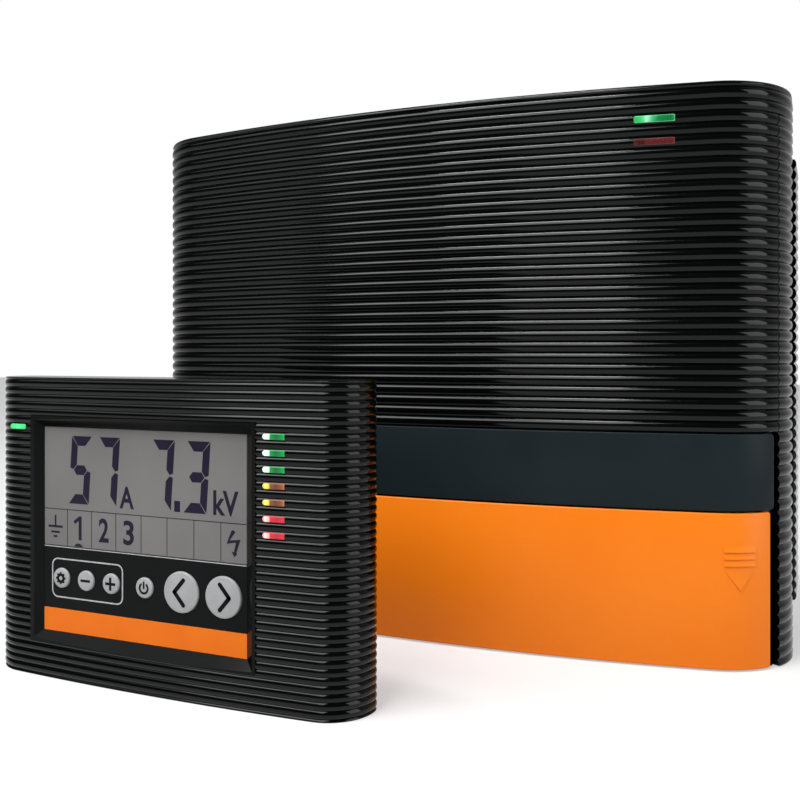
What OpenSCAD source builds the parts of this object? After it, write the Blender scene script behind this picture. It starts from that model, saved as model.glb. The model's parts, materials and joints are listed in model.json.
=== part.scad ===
/* [Energizer case] */
// Width of the energizer case over its ribs
case_w = 320; // [300:1:350]
// Height of the energizer case
case_h = 245; // [235:1:270]
// Depth of the energizer case from its front to the wall
case_d = 110; // [106:1:130]
// Radius of the bowed front, seen from above
front_r = 740; // [650:10:1000]
// Radius of the front corners, seen from above
corner_r = 36; // [34:1:40]
// Wall under the ribs
wall = 2.4; // [2:0.1:3]
// Spacing of the ribs
rib_pitch = 4.8; // [4.4:0.1:5.4]
// Depth of the grooves between the ribs
rib_depth = 1.2; // [0.8:0.1:1.5]
// Angle round the corner at which the front shell ends
seam_angle = 60; // [58:1:64]
// Gap at the seams between the shells
seam = 0.6; // [0.3:0.1:1]
// Ribs of the roof that the front shell carries to the back
roof_ribs = 2; // [2:1:4]
// Depth at which the mid shell ends
mid_back = 56; // [55:1:60]
// How far the rear shell stands out past the mid shell at each side
rear_proud = 1.3; // [0.5:0.1:2]
// Ribs that the rear shell leaves free at its foot
rear_foot_ribs = 4; // [3:1:5]
// Ribs that the rear shell leaves free at its head
rear_head_ribs = 5; // [4:1:7]
// Radius of the upright rear corners
rear_corner_r = 14; // [10:1:18]
// Thickness of the seal in front of the rear shell
seal_t = 1.2; // [0.8:0.1:2]

/* [Band and terminal cover] */
// Ribs' worth of height that the band and the cover take up
lower_ribs = 20; // [19:1:22]
// Height of the slate band
band_h = 32; // [26:0.5:34]
// Angle round the corner at which the band ends
band_end = 55; // [50:1:57]
// Wall of the terminal cover
cover_t = 2.6; // [2:0.1:3]
// Angle round the corner at which the terminal cover ends
cover_end = 51.5; // [48:0.5:54]
// Gap between the band and the terminal cover
cover_gap = 0.9; // [0.5:0.1:1.5]
// Height of the cover's lower edge above the floor
cover_lift = 0.8; // [0.5:0.1:2]
// Running clearance behind the cover
cover_run = 0.5; // [0.3:0.1:0.8]
// Width of a rail's stem behind the cover
rail_stem = 3; // [2.5:0.5:4]
// Width of a rail's head behind the cover
rail_head = 7; // [6:0.5:8]
// Height of the arrow on the cover
arrow_h = 18.1; // [14:0.1:20]
// Width of the arrow on the cover
arrow_w = 13.3; // [10:0.1:14]
// Height of the arrow's tip above the floor
arrow_tip = 33.6; // [28:0.1:40]
// How far the arrow stands out
arrow_proud = 0.4; // [0.2:0.1:0.6]

/* [Terminal bay] */
// Clear width of the terminal bay
bay_w = 224; // [216:1:226]
// Clear height of the terminal bay
bay_h = 56; // [52:1:57]
// Depth of the terminal bay's back wall behind the front
bay_back = 50; // [48:0.5:51]
// Spacing of the wire terminals
terminal_pitch = 48; // [40:1:50]
// Height of the wire terminals above the floor
terminal_z = 36; // [32:0.5:40]
// Diameter of a terminal's stud
stud_d = 6; // [5:0.5:8]
// Length of stud in front of its collar
stud_l = 19; // [17:0.5:21]
// Diameter of a terminal knob over its grips
knob_d = 21; // [18:0.5:24]
// Depth of a terminal knob
knob_l = 20.4; // [19.5:0.1:22]
// Diameter of the clamp washers
washer_d = 18; // [15:0.5:20]
// Thickness of the clamp washers
washer_t = 2; // [1.5:0.1:2.5]
// Radial play of knob and washer on the stud
stud_play = 0.15; // [0.1:0.05:0.3]
// Length of a cable exit in the floor
exit_l = 50; // [40:1:60]
// Width of a cable exit in the floor
exit_w = 12; // [8:0.5:14]

/* [Wall mounting] */
// Spacing of the energizer's two keyholes
key_spacing = 220; // [200:1:230]
// Height of the energizer's keyholes above the floor
key_z = 150; // [140:1:160]
// Diameter of the energizer's keyhole entries
key_d = 10; // [9:0.5:11]
// Width of the energizer's keyhole slots
key_slot = 5.2; // [4.5:0.1:6]
// Length that a screw travels up a keyhole slot
key_run = 10; // [8:0.5:12]
// Spacing of the controller's two keyholes
pad_key_spacing = 100; // [80:1:110]
// Height of the controller's keyholes above the floor
pad_key_z = 82; // [75:1:90]
// Diameter of the controller's keyhole entries
pad_key_d = 8; // [7:0.5:9]
// Width of the controller's keyhole slots
pad_key_slot = 4.2; // [3.5:0.1:4.5]

/* [Controller] */
// Width of the controller
pad_w = 173; // [170:1:190]
// Height of the controller
pad_h = 122; // [122:1:135]
// Depth of the controller
pad_d = 28; // [27.5:0.5:32]
// Radius of the controller's bowed front, seen from above
pad_front_r = 1100; // [1000:20:1500]
// Radius of the controller's front corners, seen from above
pad_corner_r = 18; // [17:0.5:19]
// Wall of the controller under its ribs
pad_wall = 2; // [1.6:0.1:2.4]
// Spacing of the controller's ribs
pad_rib_pitch = 3; // [2.8:0.1:3.4]
// Depth of the grooves between the controller's ribs
pad_rib_depth = 0.65; // [0.4:0.05:0.9]
// Sideways place of the controller's middle in front of the case
pad_x = -64.9; // [-70:0.1:-50]
// Clear distance between the controller and the case
pad_gap = 77.6; // [60:0.1:120]

/* [Controller display] */
// Width of the display panel
panel_w = 98; // [94:0.5:99]
// Height of the display panel
panel_h = 83.5; // [82:0.5:85]
// Sideways place of the panel's middle
panel_x = -7.2; // [-8:0.1:-6]
// Height of the panel's lower edge above the floor
panel_z = 18.4; // [17:0.1:20]
// Depth of the panel behind the front
panel_y = 4; // [3.6:0.1:4.4]
// Width of the slanted frame at the panel's sides
bezel_side = 5.3; // [4:0.1:5.4]
// Height of the slanted frame above and below the panel
bezel_top = 4.5; // [3.5:0.1:5.5]
// Height of the coloured strip below the buttons
strip_h = 9.5; // [8:0.1:10.5]
// Height of the button field
keys_h = 25.4; // [24.5:0.1:27]
// Diameter of the four small buttons
small_key_d = 8.1; // [7:0.1:9]
// Diameter of the two large buttons
large_key_d = 15.9; // [14:0.1:16.2]
// How far the buttons stand out of the panel
key_proud = 0.8; // [0.6:0.1:1.2]
// Travel of the buttons
key_travel = 0.8; // [0.4:0.1:0.8]
// Play round the buttons
key_play = 0.25; // [0.15:0.05:0.4]
// Length of a level light
level_l = 9.2; // [8:0.1:10]
// Height of a level light
level_h = 2.2; // [1.6:0.1:2.4]
// Rib of the controller that the top level light and the status light replace
level_rib = 33; // [32:1:36]

/* [Hidden] */
$fn = 64;

// Clearances
// Between fixed pieces
fit = 0.2;
// Between pieces that turn or slide face to face
run = 0.3;
// The stretches of a ribbed wall stop this far short of each other, and plates and strips behind tie them
hairline = 0.05;
// The ribbed walls stop this far short of the faces of the plates that close them
rim = 0.3;

// Plan of a bowed case: front radius, corner radius, corner centre across and back, half angle of the bow
function plan(w, front, corner) =
    let (cx = w / 2 - corner, cy = front - sqrt(pow(front - corner, 2) - cx * cx))
    [front, corner, cx, cy, asin(cx / (front - corner))];
// Depth of the bowed front at a sideways place, set in from its ribs
function bow_y(p, x, inset) = p[0] - sqrt(pow(p[0] - inset, 2) - x * x);
// Depth of the front corner at a sideways place, set in from its ribs
function corner_y(p, x, inset) = p[3] - sqrt(pow(p[1] - inset, 2) - pow(x - p[2], 2));
// Angle that a hairline takes up at a radius
function hair_angle(r) = hairline / 2 / r * 180 / PI;
// Points on an arc about a centre, from angle a0 to a1 measured from the front towards +X
function arc_points(cx, cy, r, a0, a1, steps) =
    [for (i = [0 : steps]) let (t = a0 + (a1 - a0) * i / steps) [cx + r * sin(t), cy - r * cos(t)]];
// Plan outline set in from the ribs: it ends beside the corners, or is carried back and cut off square
function plan_points(p, inset, back = undef) = concat(
    back == undef ? [] : [[-p[2] - p[1] + inset, back]],
    arc_points(-p[2], p[3], p[1] - inset, arc_end - 90, -p[4] - arc_end, arc_steps),
    arc_points(0, p[0], p[0] - inset, arc_end - p[4], p[4] - arc_end, arc_steps),
    arc_points(p[2], p[3], p[1] - inset, p[4] + arc_end, 90 - arc_end, arc_steps),
    back == undef ? [] : [[p[2] + p[1] - inset, back]]);
arc_end = 1;
arc_steps = 8;

// Energizer case
case_plan = plan(case_w, front_r, corner_r);
corner_cx = case_plan[2];
corner_cy = case_plan[3];
bow_angle = case_plan[4];
rib_count = floor(case_h / rib_pitch - 0.5);
rib_cap = (case_h - rib_count * rib_pitch) / 2;
rib_wall = wall + rib_depth;
case_ribs = [rib_pitch, rib_depth, rib_cap, rib_wall];
function rib_z(k) = rib_cap + k * rib_pitch;
roof_z = rib_z(rib_count - roof_ribs);
mid_top = roof_z - seam;
mid_open = mid_back - wall;
rear_front = mid_back + seal_t;
rear_half = case_w / 2 + rear_proud;
rear_z0 = rib_z(rear_foot_ribs);
rear_z1 = rib_z(rib_count - rear_head_ribs);
rear_inside = case_d - wall;
strip_t = 1.6;
strip_w = 8;
tie_w = 4;
tie_deep = 0.9;
tie_shallow = 0.4;
lip_turn = 6;
lip_foot = [3, 5];

// Band and cover
band_top = rib_z(lower_ribs);
band_z = band_top - band_h;
cover_top = band_z - cover_gap;
lower_seat = cover_t + cover_run;
lower_in = lower_seat + wall;
floor_in = lower_in + fit;
rail_x = bay_w / 2 + wall + rail_head / 2 + 3;
rail_top = cover_top - 10;
rail_head_y = bow_y(case_plan, rail_x + rail_head / 2, lower_in) + cover_run;
rail_head_t = 1.8;
arrow_groove = 0.7;
arrow_bar = 2.15;
arrow_bars = 3;
arrow_in = 10;
arrow_angle = (arrow_w / 2 + arrow_in) / corner_r * 180 / PI + bow_angle;

// Terminal bay
tray_z = wall + fit;
bay_z = tray_z + wall;
bay_top = bay_z + bay_h;
tray_half = bay_w / 2 + wall;
tray_front = bay_back - wall;
tray_foot = [12, 8];
terminal_in = 34;
terminal_x = [for (i = [0 : 2]) -bay_w / 2 + terminal_in + i * terminal_pitch];
stud_r = stud_d / 2;
collar_r = 9;
collar_t = 4;
collar_y = tray_front - collar_t;
stud_tip = collar_y - stud_l;
washer_y = collar_y - run - washer_t;
knob_y = washer_y - run - knob_l;
knob_end = 2.8;
knob_neck = 3;
nut_t = 4.5;
nut_r = stud_r + 2.8;
shank_back = bay_back + nut_t + 1;
port_x = bay_w / 2 - 54;
port_w = 16;
port_h = 14;
port_hole_w = 10;
port_hole_h = 8;
port_hole_l = 10;
inlet_x = bay_w / 2 - 20;
inlet_w = 26;
inlet_hole_w = 20;
inlet_hole_h = 10;
inlet_hole_l = 9;
inlet_pin_pitch = 8;
inlet_pin_r = 1.2;
socket_lip = 2;
socket_back = bay_back + 6;
exit_x = 45;
exit_y = 20;

// Fixings of the case
screw_r = 2;
screw_head_r = 3.8;
screw_head_t = 2.8;
screw_play = 0.2;
boss_r = 4.5;
screw_x = corner_cx + 12;
screw_in = 8.5;
screw_zs = [rear_z0 + screw_in, rear_z1 - screw_in];
screw_seat = rear_front + 8;
screw_tip = mid_open - 16;
tube_r = 5.8;
seal_inset = rib_depth + 0.8;
key_pocket = 7;
key_room = key_d / 2 + 2;
opening_edge = 6;
opening_pad = tube_r + 2.5;

// Indicators at the front
lamp_in = 16.8;
lamp_x = corner_cx - lamp_in;
lamp_l = 16.6;
lamp_h = 2.9;
lamp_zs = [rib_z(rib_count - 2.5), rib_z(rib_count - 4.5)];
lamp_pipe_back = 17.5;
lamp_board_y = 24;
lamp_board_w = 38;
lamp_board_h = 26;
lamp_board_z = (lamp_zs[0] + lamp_zs[1]) / 2;
lamp_post_x = 15;
lamp_post_r = 2.2;
ribbon_w = 8;
ribbon_t = 0.6;
lamp_r = 1.5;
lamp_flange_r = 2;
lamp_flange_t = 1.2;

// Circuit board and what it carries
board_t = 1.6;
board_y = rear_front + 4.4;
board_side = 22;
board_w = case_w - 2 * board_side;
board_foot = 22.3;
board_head = 20.5;
board_z0 = rear_z0 + board_foot;
board_z1 = rear_z1 - board_head;
ribbon_lap = 10;
ribbon_z = board_z1 + 6;
board_back = board_y + board_t;
post_x = board_w / 2 - 10;
post_zs = [board_z0 + 10, board_z1 - 10];
post_r = 3.5;
board_screw_r = 1.5;
board_screw_l = 12;
board_screw_head = 2;
part_back = board_y - fit;
core_x = -62;
core_z = board_z0 + 56;
core_w = 66;
core_h = 56;
core_d = 22;
leg_w = 20;
window_w = 13;
window_h = 36;
winding_w = 44;
winding_d = 38;
winding_r = 6;
can_r = 17;
can_l = 70;
can_x = 8;
can_pitch = 38;
can_z = board_z0 + 28;
can_rim = 1.5;
charge_w = 32;
charge_h = 26;
charge_d = 25;
charge_r = 11;
charge_flange = 4;
charge_z = board_z1 - 38;
sink_x = 25;
sink_w = 60;
sink_d = 26;
sink_z = board_z1 - 52;
sink_h = 44;
sink_fins = 8;
sink_base = 4;
fin_t = 2;
thyristor_t = 5;
thyristor_w = 16;
thyristor_h = 20;
lead_r = 1.2;
lead_y = shank_back + 2.6;

// Controller
pad_plan = plan(pad_w, pad_front_r, pad_corner_r);
pad_cy = pad_plan[3];
pad_count = floor(pad_h / pad_rib_pitch - 0.5);
pad_cap = (pad_h - pad_count * pad_rib_pitch) / 2;
pad_rib_wall = pad_wall + pad_rib_depth;
pad_ribs = [pad_rib_pitch, pad_rib_depth, pad_cap, pad_rib_wall];
pad_rear_r = pad_d - pad_cy;
pad_seam = 0.2;
pad_inside = pad_d - pad_rib_wall;
panel_x0 = panel_x - panel_w / 2;
panel_x1 = panel_x + panel_w / 2;
panel_z1 = panel_z + panel_h;
keys_z = panel_z + strip_h;
glass_z = keys_z + keys_h;
panel_t = 1;
bezel_lip = 2;
bezel_flare = 1.25;
bezel_back = panel_y + 2.4;
bezel_lip_t = 1.4;
glass_edge = 1.2;
glass_t = 2.2;
carrier_t = 1.6;
carrier_back = bezel_back + fit + carrier_t;
key_z0 = keys_z + 12.5;
small_key_pitch = 12.65;
settings_x = panel_x0 + 9.5;
power_x = panel_x + 2.2;
small_keys_x = [settings_x, settings_x + small_key_pitch, settings_x + 2 * small_key_pitch, power_x];
large_keys_x = [panel_x1 - 29.4, panel_x1 - 10.3];
key_flange = 1.1;
key_flange_t = 1;
key_back = carrier_back + run + key_flange_t;
mat_front = key_back + key_travel + fit;
puck_t = 0.7;
mat_t = 0.8;
pad_board_y = mat_front + puck_t + mat_t + fit;
pad_board_back = pad_board_y + board_t;
pad_board_w = 152;
pad_board_edge = 5;
pad_screw_x = pad_plan[2] + 1.5;
pad_screw_zs = [10, pad_h - 10];
pad_screw_r = 1.5;
pad_screw_seat = pad_board_back + 5;
pad_boss_r = 3.5;
pad_boss_front = corner_y(pad_plan, pad_screw_x + pad_boss_r, pad_rib_depth) + 0.4;
pad_tube_r = 4.4;
pad_tube_bore = 3.2;
level_x = panel_x1 + bezel_side + bezel_lip + 0.8;
level_pitch = 2 * pad_rib_pitch;
level_z = pad_cap + (level_rib + 0.5) * pad_rib_pitch;
status_x = panel_x0 - bezel_side - bezel_lip - 0.6 - level_l;
socket_x = 30;
socket_z = 20;

// Frame: the set stands on the floor, its middle at the origin
set_d = pad_d + pad_gap + case_d;
pad_front = -set_d / 2;
case_front = pad_front + pad_d + pad_gap;

// Building blocks
module both_sides() {
    children();
    mirror([1, 0, 0]) children();
}
module in_case() translate([0, case_front, 0]) children();
module in_pad() translate([pad_x, pad_front, 0]) children();
module block(x, y, z) translate([x[0], y[0], z[0]]) cube([x[1] - x[0], y[1] - y[0], z[1] - z[0]]);
module rod(x, z, r, y) translate([x, y[0], z]) rotate([-90, 0, 0]) cylinder(r = r, h = y[1] - y[0]);
// An outline in X and Z, drawn out along Y
module slab(y) translate([0, y[1], 0]) rotate([90, 0, 0]) linear_extrude(height = y[1] - y[0]) children();
module plate(z, t) translate([0, 0, z]) linear_extrude(height = t) children();
module rounded_square(w, h, r) {
    translate([r - w / 2, -h / 2]) square([w - 2 * r, h]);
    translate([-w / 2, r - h / 2]) square([w, h - 2 * r]);
    for (x = [-1, 1], y = [-1, 1]) translate([x * (w / 2 - r), y * (h / 2 - r)]) circle(r = r);
}
// A bar seen from the front, rounded at its left end or at both
module bar_outline(x, z, l, h, round_right = false) {
    translate([x + h / 2, z - h / 2]) square([l - (round_right ? h : h / 2), h]);
    translate([x + h / 2, z]) circle(r = h / 2);
    if (round_right) translate([x + l - h / 2, z]) circle(r = h / 2);
}
// Sections with their outer face at 0 are carried along the bow, the corners and the straight flanks
module bow(p) {
    half = p[4] - hair_angle(p[0]);
    translate([0, p[0], 0])
        rotate([0, 0, -half - 90])
            rotate_extrude(angle = 2 * half, $fn = 720)
                translate([p[0], 0]) children();
}
module turn(cx, cy, r, a0, a1) translate([cx, cy, 0])
    rotate([0, 0, a0 - 90])
        rotate_extrude(angle = a1 - a0, $fn = 180)
            translate([r, 0]) children();
module corners(p, a0, a1) both_sides() turn(p[2], p[3], p[1], a0, a1) children();
module flanks(x, y) both_sides() translate([x, 0, 0]) slab(y) children();
// Section of a ribbed wall with ribs k0 to k1, between two heights
module rib_section(ribs, k0, k1, z) {
    pitch = ribs[0];
    depth = ribs[1];
    round_r = (depth * depth + pitch * pitch / 4) / 2 / depth;
    groove = depth - depth / 12;
    intersection() {
        translate([-ribs[3], z[0]]) square([ribs[3], z[1] - z[0]]);
        union() {
            translate([-ribs[3], z[0]]) square([ribs[3] - groove, z[1] - z[0]]);
            for (k = [k0 : k1]) translate([-round_r, ribs[2] + (k + 0.5) * pitch]) circle(r = round_r);
        }
    }
}
// Upright strips behind a joint in the wall, at an angle round the corner
module joint_strips(cx, cy, r, a, inside, z) both_sides()
    translate([cx, cy, 0])
        rotate([0, 0, a - 90])
            block([r - inside - strip_t, r - inside + strip_t / 2], [-strip_w / 2, strip_w / 2], z);
// A tie inside a smooth wall of a thickness, where the bow meets the corner
module flush_tie(t, z) both_sides()
    translate([corner_cx, corner_cy, 0])
        rotate([0, 0, bow_angle - 90])
            block([corner_r - t * tie_deep, corner_r - t * tie_shallow], [-tie_w / 2, tie_w / 2], z);
module at_case_screws() for (x = [-screw_x, screw_x], z = screw_zs) translate([x, 0, z]) children();
module at_board_posts() for (x = [-post_x, post_x], z = post_zs) translate([x, 0, z]) children();
module at_pad_screws()
    for (x = [-pad_screw_x, pad_screw_x], z = pad_screw_zs) translate([x, 0, z]) children();
module screw(r, head_r, head_t, seat, tip) {
    rod(0, 0, r, [tip, seat]);
    rod(0, 0, head_r, [seat, seat + head_t]);
}
module keyhole(x, z, d, slot, length, y) {
    rod(x, z, d / 2, y);
    rod(x, z + length, slot / 2, y);
    block([x - slot / 2, x + slot / 2], y, [z, z + length]);
}

// Energizer case
module front_section() {
    rib_section(case_ribs, lower_ribs, rib_count, [band_top, case_h - rim]);
    translate([-lower_in, 0]) square([wall, band_top + wall]);
    translate([-lower_in, band_top]) square([lower_in - rib_depth, wall]);
}
module roof_section() rib_section(case_ribs, rib_count - roof_ribs, rib_count, [roof_z, case_h - rim]);
module mid_section() {
    rib_section(case_ribs, -1, rib_count - roof_ribs, [rim, mid_top - rim]);
    translate([-floor_in - wall, rim]) square([floor_in + wall - rib_depth - wall / 2, wall]);
}
module rear_section()
    rib_section(case_ribs, rear_foot_ribs, rib_count - rear_head_ribs - 1, [rear_z0 + rim, rear_z1 - rim]);

module front_boss(z, inset) {
    start = corner_y(case_plan, screw_x + boss_r, inset) + run;
    both_sides() rod(screw_x, z, boss_r, [start, mid_open - fit]);
}
module lamp_outline(z, play) {
    translate([lamp_x - lamp_l / 2 - play, z - lamp_h / 2 - play])
        square([lamp_l + 2 * play, lamp_h + 2 * play]);
}
module front_shell() color("#0d100f") in_case() difference() {
    union() {
        bow(case_plan) front_section();
        corners(case_plan, bow_angle + hair_angle(corner_r), seam_angle) front_section();
        corners(case_plan, seam_angle + hair_angle(corner_r), 90) roof_section();
        flanks(case_w / 2, [corner_cy + hairline, mid_back]) roof_section();
        plate(case_h - wall, wall) polygon(plan_points(case_plan, rib_depth + wall / 2, mid_back - rim));
        block([-rear_half + rib_wall, rear_half - rib_wall], [mid_open - rim, mid_back - 2 * rim],
            [roof_z + rim, case_h - wall / 2]);
        joint_strips(corner_cx, corner_cy, corner_r, bow_angle, rib_wall,
            [band_top + 2 * wall, case_h - wall / 2]);
        joint_strips(corner_cx, corner_cy, corner_r, bow_angle, lower_in, [wall, band_top - wall]);
        front_boss(screw_zs[0], lower_seat);
        front_boss(screw_zs[1], rib_depth);
        for (x = [lamp_x - lamp_post_x, lamp_x + lamp_post_x])
            rod(x, lamp_board_z, lamp_post_r, [bow_y(case_plan, x, rib_wall - wall / 2), lamp_board_y]);
    }
    block([-bay_w / 2, bay_w / 2], [0, tray_front], [bay_z, bay_top]);
    both_sides() block([rail_x - rail_stem / 2 - cover_run, rail_x + rail_stem / 2 + cover_run],
        [0, rail_head_y], [-1, rail_top + cover_run]);
    for (z = lamp_zs) slab([0, lamp_pipe_back]) lamp_outline(z, fit);
    at_case_screws() rod(0, 0, screw_r + fit / 4, [screw_tip - 1, mid_back]);
}
module case_opening(y) {
    block([-screw_x + opening_pad, screw_x - opening_pad], y,
        [rear_z0 + opening_edge, rear_z1 - opening_edge]);
    block([-rear_half + rib_wall + opening_edge, rear_half - rib_wall - opening_edge], y,
        [screw_zs[0] + opening_pad, screw_zs[1] - opening_pad]);
}
module mid_shell() color("#141817") in_case() difference() {
    lip = rib_wall + fit;
    seam_turn = seam / corner_r * 180 / PI;
    lip_z = [band_top + 2 * wall, roof_z - 2 * wall];
    union() {
        corners(case_plan, seam_angle + seam_turn, 90) mid_section();
        flanks(case_w / 2, [corner_cy + hairline, mid_back - rim]) mid_section();
        plate(0, wall) polygon(plan_points(case_plan, floor_in, mid_open + wall / 2));
        block([-case_w / 2 + rib_wall / 2, case_w / 2 - rib_wall / 2],
            [corner_cy + wall, mid_open + wall / 2], [mid_top - wall, mid_top]);
        block([-case_w / 2 + rib_wall / 2, case_w / 2 - rib_wall / 2], [mid_open, mid_back],
            [rim, mid_top - rim]);
        joint_strips(corner_cx, corner_cy, corner_r, 90, rib_wall, [wall / 2, mid_top - wall / 2]);
        corners(case_plan, seam_angle - lip_turn, seam_angle + lip_turn) translate([-lip - strip_t, lip_z[0]])
            square([strip_t, lip_z[1] - lip_z[0]]);
        corners(case_plan, seam_angle + lip_foot[0], seam_angle + lip_foot[1])
            translate([-lip - strip_t / 2, lip_z[0]]) square([strip_t, lip_z[1] - lip_z[0]]);
    }
    case_opening([mid_open - 1, mid_back + 1]);
    at_case_screws() rod(0, 0, screw_r + screw_play, [mid_open - 1, mid_back + 1]);
    both_sides() block([rail_x - rail_head / 2 - cover_run, rail_x + rail_head / 2 + cover_run],
        [0, rail_head_y + rail_head_t + cover_run], [-1, wall + 1]);
    both_sides() cable_exit([-1, wall + 1]);
}
module cable_exit(z)
    block([exit_x - exit_l / 2, exit_x + exit_l / 2], [exit_y - exit_w / 2, exit_y + exit_w / 2], z);
module keyhole_pocket(grow) {
    for (x = [-key_spacing / 2, key_spacing / 2])
        block([x - key_room - grow, x + key_room + grow],
            [rear_inside - key_pocket - grow, rear_inside + grow / 2],
            [key_z - key_room - grow, key_z + key_run + key_room + grow]);
}
module rear_plan(inset) {
    r = rear_corner_r - inset;
    cx = rear_half - rear_corner_r;
    cy = case_d - rear_corner_r;
    polygon(concat([[-cx - r, rear_front + 2 * rim]], [[cx + r, rear_front + 2 * rim]],
        arc_points(cx, cy, r, 90, 180, arc_steps), arc_points(-cx, cy, r, 180, 270, arc_steps)));
}
module rear_shell() color("#101312") in_case() difference() {
    cx = rear_half - rear_corner_r;
    cy = case_d - rear_corner_r;
    gap = hair_angle(rear_corner_r);
    union() {
        flanks(rear_half, [rear_front + rim, cy - hairline]) rear_section();
        both_sides() turn(cx, cy, rear_corner_r, 90, 180 - gap) rear_section();
        block([-cx, cx], [rear_inside, case_d], [rear_z0 + rim, rear_z1 - rim]);
        for (z = [rear_z0, rear_z1 - wall]) plate(z, wall) rear_plan(rib_depth + wall / 2);
        block([-rear_half + rib_wall / 2, rear_half - rib_wall / 2], [rear_front, rear_front + wall],
            [rear_z0 + rim, rear_z1 - rim]);
        joint_strips(cx, cy, rear_corner_r, 90, rib_wall, [rear_z0 + wall / 2, rear_z1 - wall / 2]);
        joint_strips(cx, cy, rear_corner_r, 180, wall, [rear_z0 + wall / 2, rear_z1 - wall / 2]);
        at_case_screws() rod(0, 0, tube_r, [rear_front, case_d - wall / 2]);
        at_board_posts() rod(0, 0, post_r, [board_back, case_d - wall / 2]);
        keyhole_pocket(strip_t);
    }
    case_opening([rear_front - 1, rear_front + wall + 1]);
    at_case_screws() rod(0, 0, screw_r + screw_play, [rear_front - 1, case_d]);
    at_case_screws() rod(0, 0, screw_head_r + screw_play, [screw_seat, case_d + 1]);
    at_board_posts() rod(0, 0, board_screw_r + fit / 4, [board_back - 1, board_back + board_screw_l + 2]);
    keyhole_pocket(0);
    for (x = [-key_spacing / 2, key_spacing / 2])
        keyhole(x, key_z, key_d, key_slot, key_run, [rear_inside - 1, case_d + 1]);
}
module case_seal() color("#1b1b1b") in_case() difference() {
    block([-rear_half + seal_inset, rear_half - seal_inset], [mid_back, rear_front],
        [rear_z0 + 1, rear_z1 - 1]);
    case_opening([mid_back - 1, rear_front + 1]);
    at_case_screws() rod(0, 0, screw_r + screw_play, [mid_back - 1, rear_front + 1]);
}
module case_screws() color("#b8bcc0") in_case() at_case_screws()
    screw(screw_r, screw_head_r, screw_head_t, screw_seat, screw_tip);
module fascia_band() color("#253033") in_case() {
    seat = lower_seat - fit;
    bow(case_plan) band_section(seat);
    corners(case_plan, bow_angle + hair_angle(corner_r), band_end) band_section(seat);
    flush_tie(seat, [band_z + wall, band_top - wall]);
}
module band_section(seat) translate([-seat, band_z]) square([seat, band_h - fit]);

// Indicators
module light_pipe(z) slab([0, lamp_pipe_back]) lamp_outline(z, 0);
module cut_to_bow() intersection() {
    children();
    translate([0, front_r, 0]) cylinder(r = front_r, h = case_h, $fn = 720);
}
module green_light_pipe() color("#17a647") in_case() cut_to_bow() light_pipe(lamp_zs[0]);
module red_light_pipe() color("#6a2020") in_case() cut_to_bow() light_pipe(lamp_zs[1]);
module indicator_board() color("#1e6b3a") in_case()
    block([lamp_x - lamp_board_w / 2, lamp_x + lamp_board_w / 2],
        [lamp_board_y + fit, lamp_board_y + fit + board_t],
        [lamp_board_z - lamp_board_h / 2, lamp_board_z + lamp_board_h / 2]);
module indicator_lamps() color("#d8e0d8") in_case() for (z = lamp_zs) {
    rod(lamp_x, z, lamp_r, [lamp_pipe_back + fit, lamp_board_y + fit]);
    rod(lamp_x, z, lamp_flange_r, [lamp_board_y - lamp_flange_t, lamp_board_y + fit]);
}
module indicator_ribbon() color("#8c9096") in_case() {
    x = [lamp_x - ribbon_w / 2, lamp_x + ribbon_w / 2];
    front = lamp_board_y + fit + board_t;
    back = board_y - ribbon_t - fit;
    block(x, [front, front + ribbon_t], [ribbon_z, lamp_board_z]);
    block(x, [front, back + ribbon_t], [ribbon_z, ribbon_z + ribbon_t]);
    block(x, [back, back + ribbon_t], [board_z1 - ribbon_lap, ribbon_z + ribbon_t]);
}

// Terminal bay
module terminal_tray() color("#2a2d2e") in_case() difference() {
    union() {
        intersection() {
            block([-tray_half, tray_half], [0, bay_back], [tray_z, bay_top + wall]);
            translate([0, front_r, 0]) cylinder(r = front_r - floor_in, h = case_h, $fn = 720);
        }
        both_sides() block([tray_half - tray_foot[0], tray_half - tray_foot[1]],
            [bay_back - 1, mid_open - fit], [tray_z + wall, rear_z0]);
    }
    block([-bay_w / 2, bay_w / 2], [-1, tray_front], [bay_z, bay_top]);
    for (x = terminal_x) rod(x, terminal_z, stud_r + fit / 2, [0, mid_open]);
    socket_hole(port_x, port_w);
    socket_hole(inlet_x, inlet_w);
    both_sides() cable_exit([0, bay_z + 1]);
}
module socket_hole(x, w) block([x - w / 2 - fit, x + w / 2 + fit], [tray_front - 1, bay_back + 1],
    [terminal_z - port_h / 2 - fit, terminal_z + port_h / 2 + fit]);
module terminal_post(x) in_case() {
    rod(x, terminal_z, stud_r, [stud_tip, shank_back]);
    rod(x, terminal_z, collar_r, [collar_y, tray_front]);
}
module fence_post() color("#c9a24a") terminal_post(terminal_x[0]);
module earth_post() color("#c9a24a") terminal_post(terminal_x[1]);
module reference_post() color("#c9a24a") terminal_post(terminal_x[2]);
module terminal_nuts() color("#c0b070") in_case() for (x = terminal_x) difference() {
    translate([x, bay_back, terminal_z]) rotate([-90, 0, 0]) cylinder(r = nut_r, h = nut_t, $fn = 6);
    rod(x, terminal_z, stud_r + fit / 4, [bay_back - 1, shank_back + 1]);
}
module output_leads() color("#8a2a22") in_case() for (x = terminal_x) {
    lead_top = board_z0 + 8;
    rod(x, terminal_z, lead_r, [shank_back, lead_y]);
    translate([x, lead_y, terminal_z]) sphere(r = lead_r);
    translate([x, lead_y, terminal_z]) cylinder(r = lead_r, h = lead_top - terminal_z);
    translate([x, lead_y, lead_top]) sphere(r = lead_r);
    rod(x, lead_top, lead_r, [lead_y, board_y]);
}
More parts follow.
